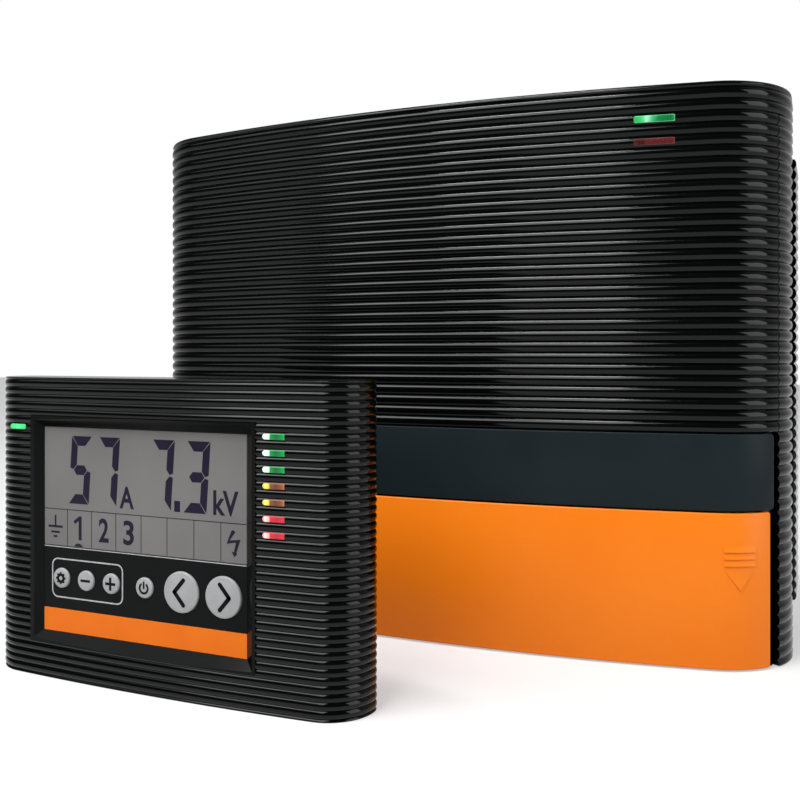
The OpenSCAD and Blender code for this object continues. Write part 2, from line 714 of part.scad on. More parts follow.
module clamp_washer(x) in_case() difference() {
    rod(x, terminal_z, washer_d / 2, [washer_y, washer_y + washer_t]);
    rod(x, terminal_z, stud_r + stud_play, [washer_y - 1, washer_y + washer_t + 1]);
}
module fence_washer() color("#c8cbce") clamp_washer(terminal_x[0]);
module earth_washer() color("#c8cbce") clamp_washer(terminal_x[1]);
module reference_washer() color("#c8cbce") clamp_washer(terminal_x[2]);
module terminal_knob(x) in_case() {
    grips = 8;
    grip_r = 2.6;
    difference() {
        union() {
            rod(x, terminal_z, knob_d / 2 - grip_r, [knob_y, knob_y + knob_l]);
            for (i = [0 : grips - 1])
                translate([x, 0, terminal_z]) rotate([0, 360 * i / grips, 0])
                    rod(knob_d / 2 - grip_r, 0, grip_r, [knob_y, knob_y + knob_l - knob_neck]);
        }
        rod(x, terminal_z, stud_r + stud_play, [knob_y + knob_end, knob_y + knob_l + 1]);
    }
}
module fence_knob() color("#c0231f") terminal_knob(terminal_x[0]);
module earth_knob() color("#1d8a45") terminal_knob(terminal_x[1]);
module reference_knob() color("#23272b") terminal_knob(terminal_x[2]);
module socket_body(x, w, hole_w, hole_h, hole_l) difference() {
    lip_front = tray_front - socket_lip;
    union() {
        block([x - w / 2, x + w / 2], [lip_front, socket_back],
            [terminal_z - port_h / 2, terminal_z + port_h / 2]);
        block([x - w / 2 - socket_lip, x + w / 2 + socket_lip], [lip_front, tray_front],
            [terminal_z - port_h / 2 - socket_lip, terminal_z + port_h / 2 + socket_lip]);
    }
    block([x - hole_w / 2, x + hole_w / 2], [lip_front - 1, lip_front + hole_l],
        [terminal_z - hole_h / 2, terminal_z + hole_h / 2]);
}
module controller_port() color("#3a3d40") in_case()
    socket_body(port_x, port_w, port_hole_w, port_hole_h, port_hole_l);
module power_inlet() color("#303336") in_case() {
    socket_body(inlet_x, inlet_w, inlet_hole_w, inlet_hole_h, inlet_hole_l);
    for (x = [inlet_x - inlet_pin_pitch / 2, inlet_x + inlet_pin_pitch / 2])
        rod(x, terminal_z, inlet_pin_r, [tray_front, tray_front - socket_lip + inlet_hole_l + 1]);
}
module arrow_piece(z) {
    half = arrow_w / 2 / corner_r * 180 / PI;
    turn(corner_cx, corner_cy, corner_r, arrow_angle - half, arrow_angle + half)
        translate([-cover_t / 2, z[0]]) square([cover_t / 2 + arrow_proud, z[1] - z[0]]);
}
module cover_arrow() {
    bar_step = arrow_bar + arrow_groove;
    head_top = arrow_tip + arrow_h - arrow_bars * bar_step;
    for (i = [1 : arrow_bars])
        arrow_piece([head_top + i * bar_step - arrow_bar, head_top + i * bar_step]);
    intersection() {
        arrow_piece([arrow_tip, head_top]);
        translate([corner_cx, corner_cy, 0])
            rotate([0, 0, arrow_angle])
                slab([-corner_r - 2, 0])
                    polygon([[-arrow_w / 2, head_top], [arrow_w / 2, head_top], [0, arrow_tip]]);
    }
}
module terminal_cover() color("#f47d12") in_case() {
    bow(case_plan) cover_section();
    corners(case_plan, bow_angle + hair_angle(corner_r), cover_end) cover_section();
    both_sides() cover_arrow();
    both_sides() block([rail_x - rail_stem / 2, rail_x + rail_stem / 2],
        [bow_y(case_plan, rail_x + rail_stem / 2, cover_t / 2), rail_head_y + rail_head_t / 2],
        [cover_lift, rail_top]);
    both_sides() block([rail_x - rail_head / 2, rail_x + rail_head / 2],
        [rail_head_y, rail_head_y + rail_head_t], [cover_lift, rail_top]);
    flush_tie(cover_t, [cover_lift + wall, cover_top - wall]);
}
module cover_section() translate([-cover_t, cover_lift]) square([cover_t, cover_top - cover_lift]);

// Electronics of the energizer
module main_board() color("#1e6b3a") in_case() difference() {
    block([-board_w / 2, board_w / 2], [board_y, board_back], [board_z0, board_z1]);
    at_board_posts() rod(0, 0, board_screw_r + fit, [board_y - 1, board_back + 1]);
}
module board_screws() color("#b8bcc0") in_case() at_board_posts() {
    rod(0, 0, board_screw_r, [board_y, board_back + board_screw_l]);
    rod(0, 0, 2 * board_screw_r, [board_y - board_screw_head, board_y]);
}
module storage_capacitors() color("#2b4a8c") in_case() for (i = [0 : 2])
    translate([can_x + i * can_pitch, part_back - can_r, can_z]) {
        cylinder(r = can_r, h = can_l);
        translate([0, 0, -can_rim]) cylinder(r = can_r - can_rim, h = can_l + 2 * can_rim);
    }
module transformer_core() color("#5a5f63") in_case() {
    y = part_back - (winding_d + core_d) / 2;
    difference() {
        block([core_x - core_w / 2, core_x + core_w / 2], [y, y + core_d],
            [core_z - core_h / 2, core_z + core_h / 2]);
        for (x = [core_x - leg_w / 2 - window_w, core_x + leg_w / 2])
            block([x, x + window_w], [y - 1, y + core_d + 1],
                [core_z - window_h / 2, core_z + window_h / 2]);
    }
}
module transformer_winding() color("#b5651d") in_case()
    translate([core_x, part_back - winding_d / 2, core_z - window_h / 2 + run])
        linear_extrude(height = window_h - 2 * run) difference() {
            rounded_square(winding_w, winding_d, winding_r);
            square([leg_w + 2 * run, core_d + 2 * run], center = true);
        }
module charge_transformer() color("#3b3f42") in_case() {
    front = part_back - charge_d;
    for (y = [front, part_back - charge_flange])
        block([core_x - charge_w / 2, core_x + charge_w / 2], [y, y + charge_flange],
            [charge_z - charge_h / 2, charge_z + charge_h / 2]);
    rod(core_x, charge_z, charge_r, [front + charge_flange / 2, part_back - charge_flange / 2]);
}
module heat_sink() color("#9aa0a5") in_case() plate(sink_z, sink_h) {
    translate([sink_x, part_back - sink_base]) square([sink_w, sink_base]);
    for (i = [0 : sink_fins - 1])
        translate([sink_x + i * (sink_w - fin_t) / (sink_fins - 1), part_back - sink_d])
            square([fin_t, sink_d]);
}
module thyristor() color("#26282a") in_case()
    block([sink_x - run - thyristor_t, sink_x - run], [part_back - thyristor_w, part_back],
        [sink_z + (sink_h - thyristor_h) / 2, sink_z + (sink_h + thyristor_h) / 2]);

// Controller
module pad_section() rib_section(pad_ribs, -1, pad_count, [rim, pad_h - rim]);
module cut_to_pad_bow() intersection() {
    children();
    translate([0, pad_front_r, 0]) cylinder(r = pad_front_r, h = pad_h, $fn = 1080);
}
module controller_front() color("#15181a") in_pad() difference() {
    union() {
        bow(pad_plan) pad_section();
        corners(pad_plan, pad_plan[4] + hair_angle(pad_corner_r), 90) pad_section();
        for (z = [0, pad_h - pad_wall])
            plate(z, pad_wall) polygon(plan_points(pad_plan, pad_rib_depth + pad_wall / 2));
        joint_strips(pad_plan[2], pad_cy, pad_corner_r, pad_plan[4], pad_rib_wall,
            [pad_wall / 2, pad_h - pad_wall / 2]);
        at_pad_screws() rod(0, 0, pad_boss_r, [pad_boss_front, pad_board_y - fit]);
    }
    block([panel_x0 - bezel_side - fit, panel_x1 + bezel_side + fit], [-1, pad_cy],
        [panel_z - bezel_top - fit, panel_z1 + bezel_top + fit]);
    slab([-1, pad_cy]) level_outlines(0, 6, fit / 2);
    slab([-1, pad_cy]) status_outline(fit / 2);
    at_pad_screws() rod(0, 0, pad_screw_r + fit / 4, [pad_board_y - 6, pad_board_y + 1]);
}
module level_outlines(first, last, play) for (i = [first : last])
    bar_outline(level_x - play, level_z - i * level_pitch, level_l + 2 * play, level_h + 2 * play);
module status_outline(play)
    bar_outline(status_x - play, level_z, level_l + 2 * play, level_h + 2 * play, true);
module pad_rear_plan(inset) {
    r = pad_rear_r - inset;
    cx = pad_w / 2 - pad_rear_r;
    polygon(concat([[-cx - r, pad_cy + rim]], [[cx + r, pad_cy + rim]],
        arc_points(cx, pad_cy, r, 95, 180, arc_steps), arc_points(-cx, pad_cy, r, 180, 265, arc_steps)));
}
module controller_back() color("#15181a") in_pad() difference() {
    cx = pad_w / 2 - pad_rear_r;
    start = 90 + pad_seam / pad_rear_r * 180 / PI;
    union() {
        both_sides() turn(cx, pad_cy, pad_rear_r, start, 180 - hair_angle(pad_rear_r)) pad_section();
        block([-cx, cx], [pad_inside, pad_d], [rim, pad_h - rim]);
        for (z = [0, pad_h - pad_wall]) plate(z, pad_wall) pad_rear_plan(pad_rib_depth + pad_wall / 2);
        both_sides() block([cx - tie_w, cx + tie_w / 2],
            [pad_inside - pad_wall / 2, pad_inside + pad_wall / 2], [pad_wall / 2, pad_h - pad_wall / 2]);
        at_pad_screws() rod(0, 0, pad_tube_r, [pad_board_back + fit, pad_d - pad_wall / 2]);
    }
    at_pad_screws() rod(0, 0, pad_screw_r + fit, [pad_board_back - 1, pad_d]);
    at_pad_screws() rod(0, 0, pad_tube_bore, [pad_screw_seat, pad_d + 1]);
    for (x = [-pad_key_spacing / 2, pad_key_spacing / 2])
        keyhole(x, pad_key_z, pad_key_d, pad_key_slot, pad_key_d, [pad_inside - 2, pad_d + 1]);
    block([socket_x - port_w / 2 - fit, socket_x + port_w / 2 + fit], [pad_inside - 1, pad_d + 1],
        [socket_z - port_h / 2 - fit, socket_z + port_h / 2 + fit]);
}
// The slanted opening is where a wedge across the width meets a wedge up the height
module bezel_opening() intersection() {
    front = -1 - fit;
    back = bezel_back + 1;
    flare_x = bezel_flare * bezel_side;
    flare_z = bezel_flare * bezel_top;
    plate(panel_z - 2 * bezel_top, panel_h + 4 * bezel_top)
        polygon([[panel_x0, back], [panel_x0, panel_y], [panel_x0 - flare_x, front],
            [panel_x1 + flare_x, front], [panel_x1, panel_y], [panel_x1, back]]);
    translate([panel_x0 - 2 * bezel_side, 0, 0]) rotate([90, 0, 90])
        linear_extrude(height = panel_w + 4 * bezel_side)
            polygon([[back, panel_z], [panel_y, panel_z], [front, panel_z - flare_z],
                [front, panel_z1 + flare_z], [panel_y, panel_z1], [back, panel_z1]]);
}
module display_frame() color("#2c2f31") in_pad() cut_to_pad_bow() difference() {
    union() {
        block([panel_x0 - bezel_side, panel_x1 + bezel_side], [0, bezel_back],
            [panel_z - bezel_top, panel_z1 + bezel_top]);
        block([panel_x0 - bezel_side - bezel_lip, panel_x1 + bezel_side + bezel_lip],
            [bezel_back - bezel_lip_t, bezel_back],
            [panel_z - bezel_top - bezel_lip, panel_z1 + bezel_top + bezel_lip]);
    }
    bezel_opening();
}
module key_outlines(play) {
    for (x = small_keys_x) translate([x, key_z0]) circle(r = small_key_d / 2 + play);
    for (x = large_keys_x) translate([x, key_z0]) circle(r = large_key_d / 2 + play);
}
module panel_sheet(y, z)
    block([panel_x0 + fit / 2, panel_x1 - fit / 2], y, [z[0] + fit / 2, z[1] - fit / 2]);
module panel_carrier() color("#3c4042") in_pad() difference() {
    union() {
        block([panel_x0 - bezel_lip, panel_x1 + bezel_lip], [bezel_back + fit, carrier_back],
            [panel_z - bezel_lip, panel_z1 + bezel_lip]);
        panel_sheet([panel_y + panel_t, carrier_back], [panel_z, glass_z]);
    }
    slab([0, carrier_back + 1]) key_outlines(key_play);
    block([panel_x0 + glass_edge, panel_x1 - glass_edge], [0, carrier_back + 1],
        [glass_z + glass_edge, panel_z1 - glass_edge]);
}
module keypad_overlay() color("#1e1f20") in_pad() difference() {
    panel_sheet([panel_y, panel_y + panel_t], [keys_z, glass_z]);
    slab([0, panel_y + panel_t + 1]) key_outlines(key_play);
}
module accent_strip() color("#ee7410") in_pad()
    panel_sheet([panel_y, panel_y + panel_t], [panel_z, keys_z]);
module display_window() color("#a3a3a2", 0.4) in_pad()
    panel_sheet([panel_y, panel_y + panel_t], [glass_z, panel_z1]);
module behind_window(y) block([panel_x0 + glass_edge + fit, panel_x1 - glass_edge - fit], y,
    [glass_z + glass_edge + fit, panel_z1 - glass_edge - fit]);
module display_glass() color("#92918f") in_pad()
    behind_window([panel_y + panel_t + fit, panel_y + panel_t + glass_t]);
module backlight() color("#e6e6e0") in_pad()
    behind_window([panel_y + panel_t + glass_t + fit, pad_board_y - fit]);
module keypad_mat() color("#5f6468") in_pad() {
    sheet = mat_front + puck_t;
    block([panel_x0 + 2, panel_x1 - 1], [sheet, sheet + mat_t], [keys_z + 1, glass_z - 1]);
    for (x = concat(small_keys_x, large_keys_x))
        rod(x, key_z0, small_key_d / 3, [mat_front, sheet + mat_t / 2]);
}
module controller_board() color("#1e6b3a") in_pad() difference() {
    block([-pad_board_w / 2, pad_board_w / 2], [pad_board_y, pad_board_back],
        [pad_board_edge, pad_h - pad_board_edge]);
    at_pad_screws() rod(0, 0, pad_screw_r + fit, [pad_board_y - 1, pad_board_back + 1]);
}
module data_socket() color("#3a3d40") in_pad() difference() {
    block([socket_x - port_w / 2, socket_x + port_w / 2], [pad_board_back + fit, pad_d],
        [socket_z - port_h / 2, socket_z + port_h / 2]);
    block([socket_x - port_hole_w / 2, socket_x + port_hole_w / 2], [pad_d - port_hole_l, pad_d + 1],
        [socket_z - port_hole_h / 2, socket_z + port_hole_h / 2]);
}
module pad_light() cut_to_pad_bow() slab([0, pad_board_y - fit]) children();
module status_light() color("#12a544") in_pad() pad_light() status_outline(0);
module green_level_lights() color("#12a544") in_pad() pad_light() level_outlines(0, 2, 0);
module amber_level_lights() color("#d08a1c") in_pad() pad_light() level_outlines(3, 4, 0);
module red_level_lights() color("#d8303c") in_pad() pad_light() level_outlines(5, 6, 0);
module controller_screws() color("#b8bcc0") in_pad() at_pad_screws()
    screw(pad_screw_r, pad_tube_bore - fit, 2, pad_screw_seat, pad_board_y - 5);
module key_cap(x, d) in_pad() {
    rod(x, key_z0, d / 2, [panel_y - key_proud, key_back]);
    rod(x, key_z0, d / 2 + key_flange, [key_back - key_flange_t, key_back]);
}
module settings_button() color("#b9babb") key_cap(small_keys_x[0], small_key_d);
module minus_button() color("#b9babb") key_cap(small_keys_x[1], small_key_d);
module plus_button() color("#b9babb") key_cap(small_keys_x[2], small_key_d);
module power_button() color("#b9babb") key_cap(small_keys_x[3], small_key_d);
module left_button() color("#b9babb") key_cap(large_keys_x[0], large_key_d);
module right_button() color("#b9babb") key_cap(large_keys_x[1], large_key_d);

front_shell();
mid_shell();
rear_shell();
case_seal();
case_screws();
fascia_band();
green_light_pipe();
red_light_pipe();
indicator_board();
indicator_lamps();
indicator_ribbon();
terminal_tray();
fence_post();
earth_post();
reference_post();
terminal_nuts();
output_leads();
controller_port();
power_inlet();
main_board();
board_screws();
storage_capacitors();
transformer_core();
transformer_winding();
charge_transformer();
thyristor();
heat_sink();
terminal_cover();
fence_washer();
earth_washer();
reference_washer();
fence_knob();
earth_knob();
reference_knob();
controller_front();
controller_back();
display_frame();
panel_carrier();
keypad_overlay();
accent_strip();
display_window();
display_glass();
backlight();
keypad_mat();
controller_board();
data_socket();
status_light();
green_level_lights();
amber_level_lights();
red_level_lights();
controller_screws();
settings_button();
minus_button();
plus_button();
power_button();
left_button();
right_button();
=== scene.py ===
import json
import math

import bmesh
import bpy
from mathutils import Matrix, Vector

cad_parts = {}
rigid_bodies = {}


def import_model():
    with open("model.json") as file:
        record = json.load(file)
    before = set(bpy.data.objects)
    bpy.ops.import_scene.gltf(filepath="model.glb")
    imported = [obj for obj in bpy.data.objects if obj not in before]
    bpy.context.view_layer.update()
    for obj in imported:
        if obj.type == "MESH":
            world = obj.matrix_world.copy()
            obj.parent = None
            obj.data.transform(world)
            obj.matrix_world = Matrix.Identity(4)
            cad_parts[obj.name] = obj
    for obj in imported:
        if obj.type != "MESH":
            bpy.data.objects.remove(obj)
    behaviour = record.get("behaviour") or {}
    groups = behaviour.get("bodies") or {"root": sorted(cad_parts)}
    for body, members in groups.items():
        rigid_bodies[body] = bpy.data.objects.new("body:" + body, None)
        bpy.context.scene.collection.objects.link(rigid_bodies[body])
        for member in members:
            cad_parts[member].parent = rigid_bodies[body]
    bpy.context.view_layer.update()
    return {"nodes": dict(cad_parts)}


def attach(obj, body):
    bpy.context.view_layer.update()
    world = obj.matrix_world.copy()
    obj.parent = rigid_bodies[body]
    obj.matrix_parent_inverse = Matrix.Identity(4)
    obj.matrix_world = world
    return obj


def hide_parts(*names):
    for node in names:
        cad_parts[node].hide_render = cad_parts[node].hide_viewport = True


bpy.ops.object.select_all(action="SELECT")
bpy.ops.object.delete()
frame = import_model()
MM = 0.001

# Sizes in mm and angles in degrees

# The case and the controller are each drawn with the crest of their front ribs at Y 0 and their middle at
# X 0, and then moved to their places.

def corner_centre(half_width, bow_r, corner_r):
    """Centre of a corner's round that runs on from a wide bow and ends at a half width."""
    x = half_width - corner_r
    return x, bow_r - math.sqrt((bow_r - corner_r) ** 2 - x ** 2), 0


def bow_end(corner, bow_r):
    """How far a bow turns before its corner begins, in degrees."""
    return math.degrees(math.atan2(corner[0], bow_r - corner[1]))


# Case
CASE_AT = (0, -2.2, 0)
CASE_HALF, CASE_H = 160, 245
WALL = 2.4
CASE_RIB = {"pitch": 4.8, "depth": 1.2, "steps": 8}
FRONT_R, CORNER_R = 740, 36
CORNER = corner_centre(CASE_HALF, FRONT_R, CORNER_R)
BOW = bow_end(CORNER, FRONT_R)
BOW_STEPS, CORNER_STEPS, FLANK_STEPS = 24, 16, 10
BAND_TOP, FRONT_RIBS, ROOF_RIBS = 98.5, 30, 2
ROOF_GROOVE = BAND_TOP + FRONT_RIBS * CASE_RIB["pitch"]
ROOF_FOOT = ROOF_GROOVE - ROOF_RIBS * CASE_RIB["pitch"]
SEAM, SEAM_TURN = 0.6, 60  # the gap above the mid shell, and how far the wall below the roof goes round
MID_TOP, MID_BACK = ROOF_FOOT - SEAM, 56
LIP_X, LIP_Y = 157.9, (47.5, 55.2)
LOWER_FACE = 3.1
BAY_X, BAY_Z, BAY_DEEP = 112, (5, 61), 24
CUT_FRONT = -3  # where the cuts through the lower wall begin
CLEAR = 1  # how far a cutting shape stands past what it cuts

# Band and cover
BAND_Z, BAND_T, BAND_END, BAND_ROUND, BAND_EDGE = (66.5, 98.3), 2.9, 55, 2, 0.5
COVER_Z, COVER_T, COVER_END, COVER_ROUND, COVER_EDGE = (0.8, 65.6), 2.6, 51.5, 1, 0.6
STRIP_STEPS, STRIP_TAIL = 14, 4  # the tail is a strip's last step, which has its round corners
ARROW_TIP, ARROW_HEAD, ARROW_W, ARROW_STEPS = 33.6, 43.15, 13.3, 10
ARROW_DEEP, ARROW_PROUD, ARROW_HEAD_PROUD = 1.4, 0.5, 0.06
ARROW_BARS, ARROW_PITCH, ARROW_GAP, ARROW_INSET = 3, 2.85, 0.7, 4.4
ARROW_HALF = math.degrees(ARROW_W / 2 / CORNER_R)
ARROW_TURN = BOW + math.degrees((ARROW_W / 2 + ARROW_INSET) / CORNER_R)
RAIL_X, RAIL_Y, RAIL_TOP, RAIL_PLAY, RAIL_SLOT = 120.9, 16.6, 55.6, 0.5, 4
STEM_W, STEM_FRONT, STEM_LAP, HEAD_W, HEAD_T = 3, 11.6, 0.9, 7, 1.8

# Lights of the case
LAMP_MIDDLE, LAMP_L, LAMP_H, LAMP_ROUND, LAMP_ZS = 107.2, 16.6, 2.9, 0.7, (230.5, 220.9)
LAMP_X = (LAMP_MIDDLE - LAMP_L / 2, LAMP_MIDDLE + LAMP_L / 2)
LAMP_BACK, LAMP_SLOT = 17.5, 16
LENS_EDGE, DRUM_SIDES = 0.35, 1440

# Controller
PAD_AT = (-64.9, -107.8, 0)
PAD_HALF, PAD_H, PAD_WALL = 86.5, 122, 1
PAD_RIB = {"pitch": 3, "depth": 0.65, "steps": 6}
PAD_FOOT, PAD_RIBS = 1, 40
PAD_GROOVE = PAD_FOOT + PAD_RIBS * PAD_RIB["pitch"]
PAD_FRONT_R, PAD_CORNER_R = 1100, 18
PAD_CORNER = corner_centre(PAD_HALF, PAD_FRONT_R, PAD_CORNER_R)
PAD_BOW = bow_end(PAD_CORNER, PAD_FRONT_R)
PAD_BOW_STEPS, PAD_CORNER_STEPS = 16, 18
PANEL_X, PANEL_Z, PANEL_Y, GLASS_Z = (-56.2, 41.8), (18.4, 101.9), 4.0, 53.3
BEZEL_X, BEZEL_Z, BEZEL_DEEP = (-61.5, 47.1), (13.9, 106.4), 20
LEVEL_X, LEVEL_L, LEVEL_H, LEVEL_TOP, LEVEL_PITCH = 49.9, 9.2, 2.2, 101.5, 6.0
STATUS_X = -73.3
LIGHT_BACK, LIGHT_SLOT, ROUND_STEPS = 12.0, 9, 8

# Keys and print
KEY_Z, KEY_FRONT, KEY_BACK, KEY_FLANGE, KEY_FLANGE_T = 40.4, 3.2, 9.5, 1.1, 1.0
KEY_SIDES, KEY_EDGE = 56, 0.55
SMALL_R, SMALL_KEYS = 4.05, {"settings": -46.7, "minus": -34.05, "plus": -21.4, "power": -5.0}
LARGE_R, LARGE_KEYS = 7.95, {"left": 12.4, "right": 31.5}
PRINT = 0.04
PRINT_FRONT = PANEL_Y - PRINT
WINDOW_PLAY, WINDOW_ROUND, WINDOW_EDGE, WINDOW_T = 0.1, 0.4, 0.3, 1


# Modelling

TOUCH = 1e-6  # metres within which two points count as one
NEAR = 1e-5  # metres within which a point counts as at a level
CAP_SWELL = 0.47  # share of a rib's half round that its cap keeps


def mm(*values):
    return [v * MM for v in values]


def only(piece):
    bpy.ops.object.select_all(action="DESELECT")
    piece.select_set(True)
    bpy.context.view_layer.objects.active = piece


def edit(piece):
    only(piece)
    bpy.ops.object.mode_set(mode="EDIT")
    bpy.ops.mesh.select_mode(type="VERT")


def close():
    bpy.ops.object.mode_set(mode="OBJECT")


def fresh(name, kind, scale=(1, 1, 1), **where):
    """Adds a primitive by itself, with its place, turn and scale applied, and opens it in edit mode."""
    bpy.ops.object.select_all(action="DESELECT")
    getattr(bpy.ops.mesh, f"primitive_{kind}_add")(**where)
    piece = bpy.context.object
    piece.name = piece.data.name = name
    piece.scale = scale
    bpy.ops.object.transform_apply(location=True, rotation=True, scale=True)
    edit(piece)
    bpy.ops.mesh.select_all(action="SELECT")
    return piece


def pick(piece, kind, test, among_selected=False):
    """Selects the vertices, edges or faces that pass the test, of all or of those selected so far."""
    bpy.ops.mesh.select_mode(type=kind)
    grid = bmesh.from_edit_mesh(piece.data)
    parts = {"VERT": grid.verts, "EDGE": grid.edges, "FACE": grid.faces}[kind]
    chosen = [p for p in parts if (p.select or not among_selected) and test(p)]
    bpy.ops.mesh.select_all(action="DESELECT")
    grid = bmesh.from_edit_mesh(piece.data)
    for part in chosen:
        part.select_set(True)
    grid.select_flush_mode()
    bmesh.update_edit_mesh(piece.data)


def turn(centre, degrees, steps, axis=(0, 0, 1)):
    """Spins what is selected by the right-hand rule; the operator itself turns the other way."""
    bpy.ops.mesh.spin(steps=steps, angle=-math.radians(degrees), center=mm(*centre), axis=axis)


def draw_out(x, y, z):
    bpy.ops.mesh.extrude_region_move(TRANSFORM_OT_translate={"value": mm(x, y, z)})


def face_out():
    bpy.ops.mesh.select_all(action="SELECT")
    bpy.ops.mesh.remove_doubles(threshold=TOUCH)
    bpy.ops.mesh.normals_make_consistent(inside=False)


def apply(piece, kind, **settings):
    """Adds a modifier and applies it."""
    only(piece)
    made = piece.modifiers.new(kind.lower(), kind)
    for name, value in settings.items():
        setattr(made, name, value)
    bpy.ops.object.modifier_apply(modifier=made.name)


def mirror(piece):
    apply(piece, "MIRROR", merge_threshold=NEAR)


def thicken(piece, wall):
    """Gives a sheet a thickness behind its outer face."""
    apply(piece, "SOLIDIFY", thickness=wall * MM, offset=-1, use_rim=True)


def boxes(name, ranges):
    """Blocks between X, Y and Z ranges, as one mesh."""
    made = []
    for spans in ranges:
        middle = [(low + high) / 2 for low, high in spans]
        size = [high - low for low, high in spans]
        made.append(fresh(name, "cube", size=1, location=mm(*middle), scale=mm(*size)))
        close()
    return join(*made)


def cut(piece, tool):
    apply(piece, "BOOLEAN", operation="DIFFERENCE", object=tool, solver="MANIFOLD")
    bpy.data.objects.remove(tool)


def join(piece, *others):
    only(piece)
    for other in others:
        other.select_set(True)
    if others:
        bpy.ops.object.join()
    return piece


def place(piece, at):
    only(piece)
    piece.location = mm(*at)
    bpy.ops.object.transform_apply(location=True, rotation=True, scale=True)


def settle(piece, body, slot, finish, *nodes, smooth=35):
    """Smooths a finished piece, gives it its finish, hangs it on its body and hides the CAD nodes it
    replaces.
    """
    only(piece)
    bpy.ops.object.shade_smooth_by_angle(angle=math.radians(smooth))
    piece.data.materials.clear()
    piece.data.materials.append(finish)
    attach(piece, body)
    if nodes:
        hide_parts(*nodes)
    return piece


def rib_round(rib):
    """The radius of a rib's round and half the angle that it covers."""
    pitch, depth = rib["pitch"], rib["depth"]
    radius = (depth ** 2 + pitch ** 2 / 4) / (2 * depth)
    return radius, math.asin(pitch / 2 / radius)


def rib_line(name, rib, foot, count):
    """A rib's round drawn as a line in Y and Z by spinning one point, repeated up from the foot."""
    pitch = rib["pitch"]
    radius, half = rib_round(rib)
    piece = fresh(name, "plane", size=MM, location=mm(0, rib["depth"], foot))
    bpy.ops.mesh.merge(type="CENTER")
    turn((0, radius, foot + pitch / 2), 2 * math.degrees(half), rib["steps"], axis=(-1, 0, 0))
    close()
    apply(piece, "ARRAY", count=count, use_relative_offset=False, use_constant_offset=True,
          constant_offset_displace=mm(0, 0, pitch), use_merge_vertices=True, merge_threshold=TOUCH)
    return piece


def rib_cap(piece, rib, groove, level, up=1, swell_steps=3, round_steps=5):
    """Rounds a line of ribs off from its last groove to a level above it, or below it with up -1."""
    radius, half = rib_round(rib)
    middle = groove + up * rib["pitch"] / 2
    swell = half * CAP_SWELL
    y = radius * (1 - math.cos(half - swell))
    z = middle - up * radius * math.sin(half - swell)
    edit(piece)
    pick(piece, "VERT", lambda v: abs(v.co.z - groove * MM) < TOUCH)
    turn((0, radius, middle), math.degrees(swell), swell_steps, axis=(-up, 0, 0))
    turn((0, y + abs(level - z), z), 90, round_steps, axis=(-up, 0, 0))
    close()


def flat(name, outlines, front):
    """Flat shapes in X and Z that face the front, each a disc whose rim is drawn out to an outline."""
    piece = None
    for outline in outlines:
        rim = {"vertices": len(outline), "fill_type": "NGON", "radius": MM}
        if piece is None:
            piece = fresh(name, "circle", **rim)
        else:
            bpy.ops.mesh.primitive_circle_add(**rim)
        grid = bmesh.from_edit_mesh(piece.data)
        for vertex, (x, z) in zip([v for v in grid.verts if v.select], outline):
            vertex.co = mm(x, front, z)
        bmesh.update_edit_mesh(piece.data)
        bpy.ops.mesh.select_all(action="DESELECT")
    grid = bmesh.from_edit_mesh(piece.data)
    for face in grid.faces:
        face.normal_update()
        if face.normal.y > 0:
            face.normal_flip()
    bmesh.update_edit_mesh(piece.data)
    close()
    return piece


def inlay(name, outlines, front, depth):
    """Flat shapes given a thickness behind their front."""
    piece = flat(name, outlines, front)
    thicken(piece, depth)
    return piece


def lettering(name, words, x, z, front, depth, weight=0.022, sliver=0.08):
    """Figures stretched to fill a box in X and Z, with points merged that lie within a sliver's width."""
    bpy.ops.object.select_all(action="DESELECT")
    bpy.ops.object.text_add(rotation=(math.radians(90), 0, 0))
    piece = bpy.context.object
    piece.data.body = words
    piece.data.resolution_u = 6
    piece.data.offset = weight
    bpy.ops.object.convert(target="MESH")
    piece.name = name
    bpy.ops.object.transform_apply(location=True, rotation=True, scale=True)
    low = [min(v.co[i] for v in piece.data.vertices) for i in range(3)]
    high = [max(v.co[i] for v in piece.data.vertices) for i in range(3)]
    sx = (x[1] - x[0]) * MM / (high[0] - low[0])
    sz = (z[1] - z[0]) * MM / (high[2] - low[2])
    piece.scale = (sx, 1, sz)
    piece.location = (x[0] * MM - low[0] * sx, front * MM, z[0] * MM - low[2] * sz)
    bpy.ops.object.transform_apply(location=True, rotation=True, scale=True)
    edit(piece)
    bpy.ops.mesh.select_all(action="SELECT")
    bpy.ops.mesh.remove_doubles(threshold=sliver * MM)
    close()
    thicken(piece, depth)
    return piece


def arc(cx, cz, r, start, end, steps):
    """Points along a round in X and Z, between two angles in degrees."""
    angles = [math.radians(start + (end - start) * i / steps) for i in range(steps + 1)]
    return [(cx + r * math.cos(a), cz + r * math.sin(a)) for a in angles]


def block(x, z):
    """A rectangle in X and Z."""
    return [(x[0], z[0]), (x[1], z[0]), (x[1], z[1]), (x[0], z[1])]


def stroke(points, width, steps=6):
    """Outlines of a line of straight strokes with round ends."""
    r = width / 2
    made = []
    for (x0, z0), (x1, z1) in zip(points, points[1:]):
        along = math.degrees(math.atan2(z1 - z0, x1 - x0))
        far = arc(x1, z1, r, along - 90, along + 90, steps)
        near = arc(x0, z0, r, along + 90, along + 270, steps)
        made.append(far + near)
    return made


def twin(piece, name, shift):
    """A copy with its own mesh, moved over."""
    only(piece)
    bpy.ops.object.duplicate()
    made = bpy.context.object
    made.name = made.data.name = name
    place(made, shift)
    return made


def ring(name, outline, width, front, depth):
    """A line of some width just inside an outline in X and Z."""
    piece = flat(name, [outline], front)
    edit(piece)
    bpy.ops.mesh.select_all(action="SELECT")
    bpy.ops.mesh.inset(thickness=width * MM)
    bpy.ops.mesh.delete(type="FACE")
    close()
    thicken(piece, depth)
    return piece


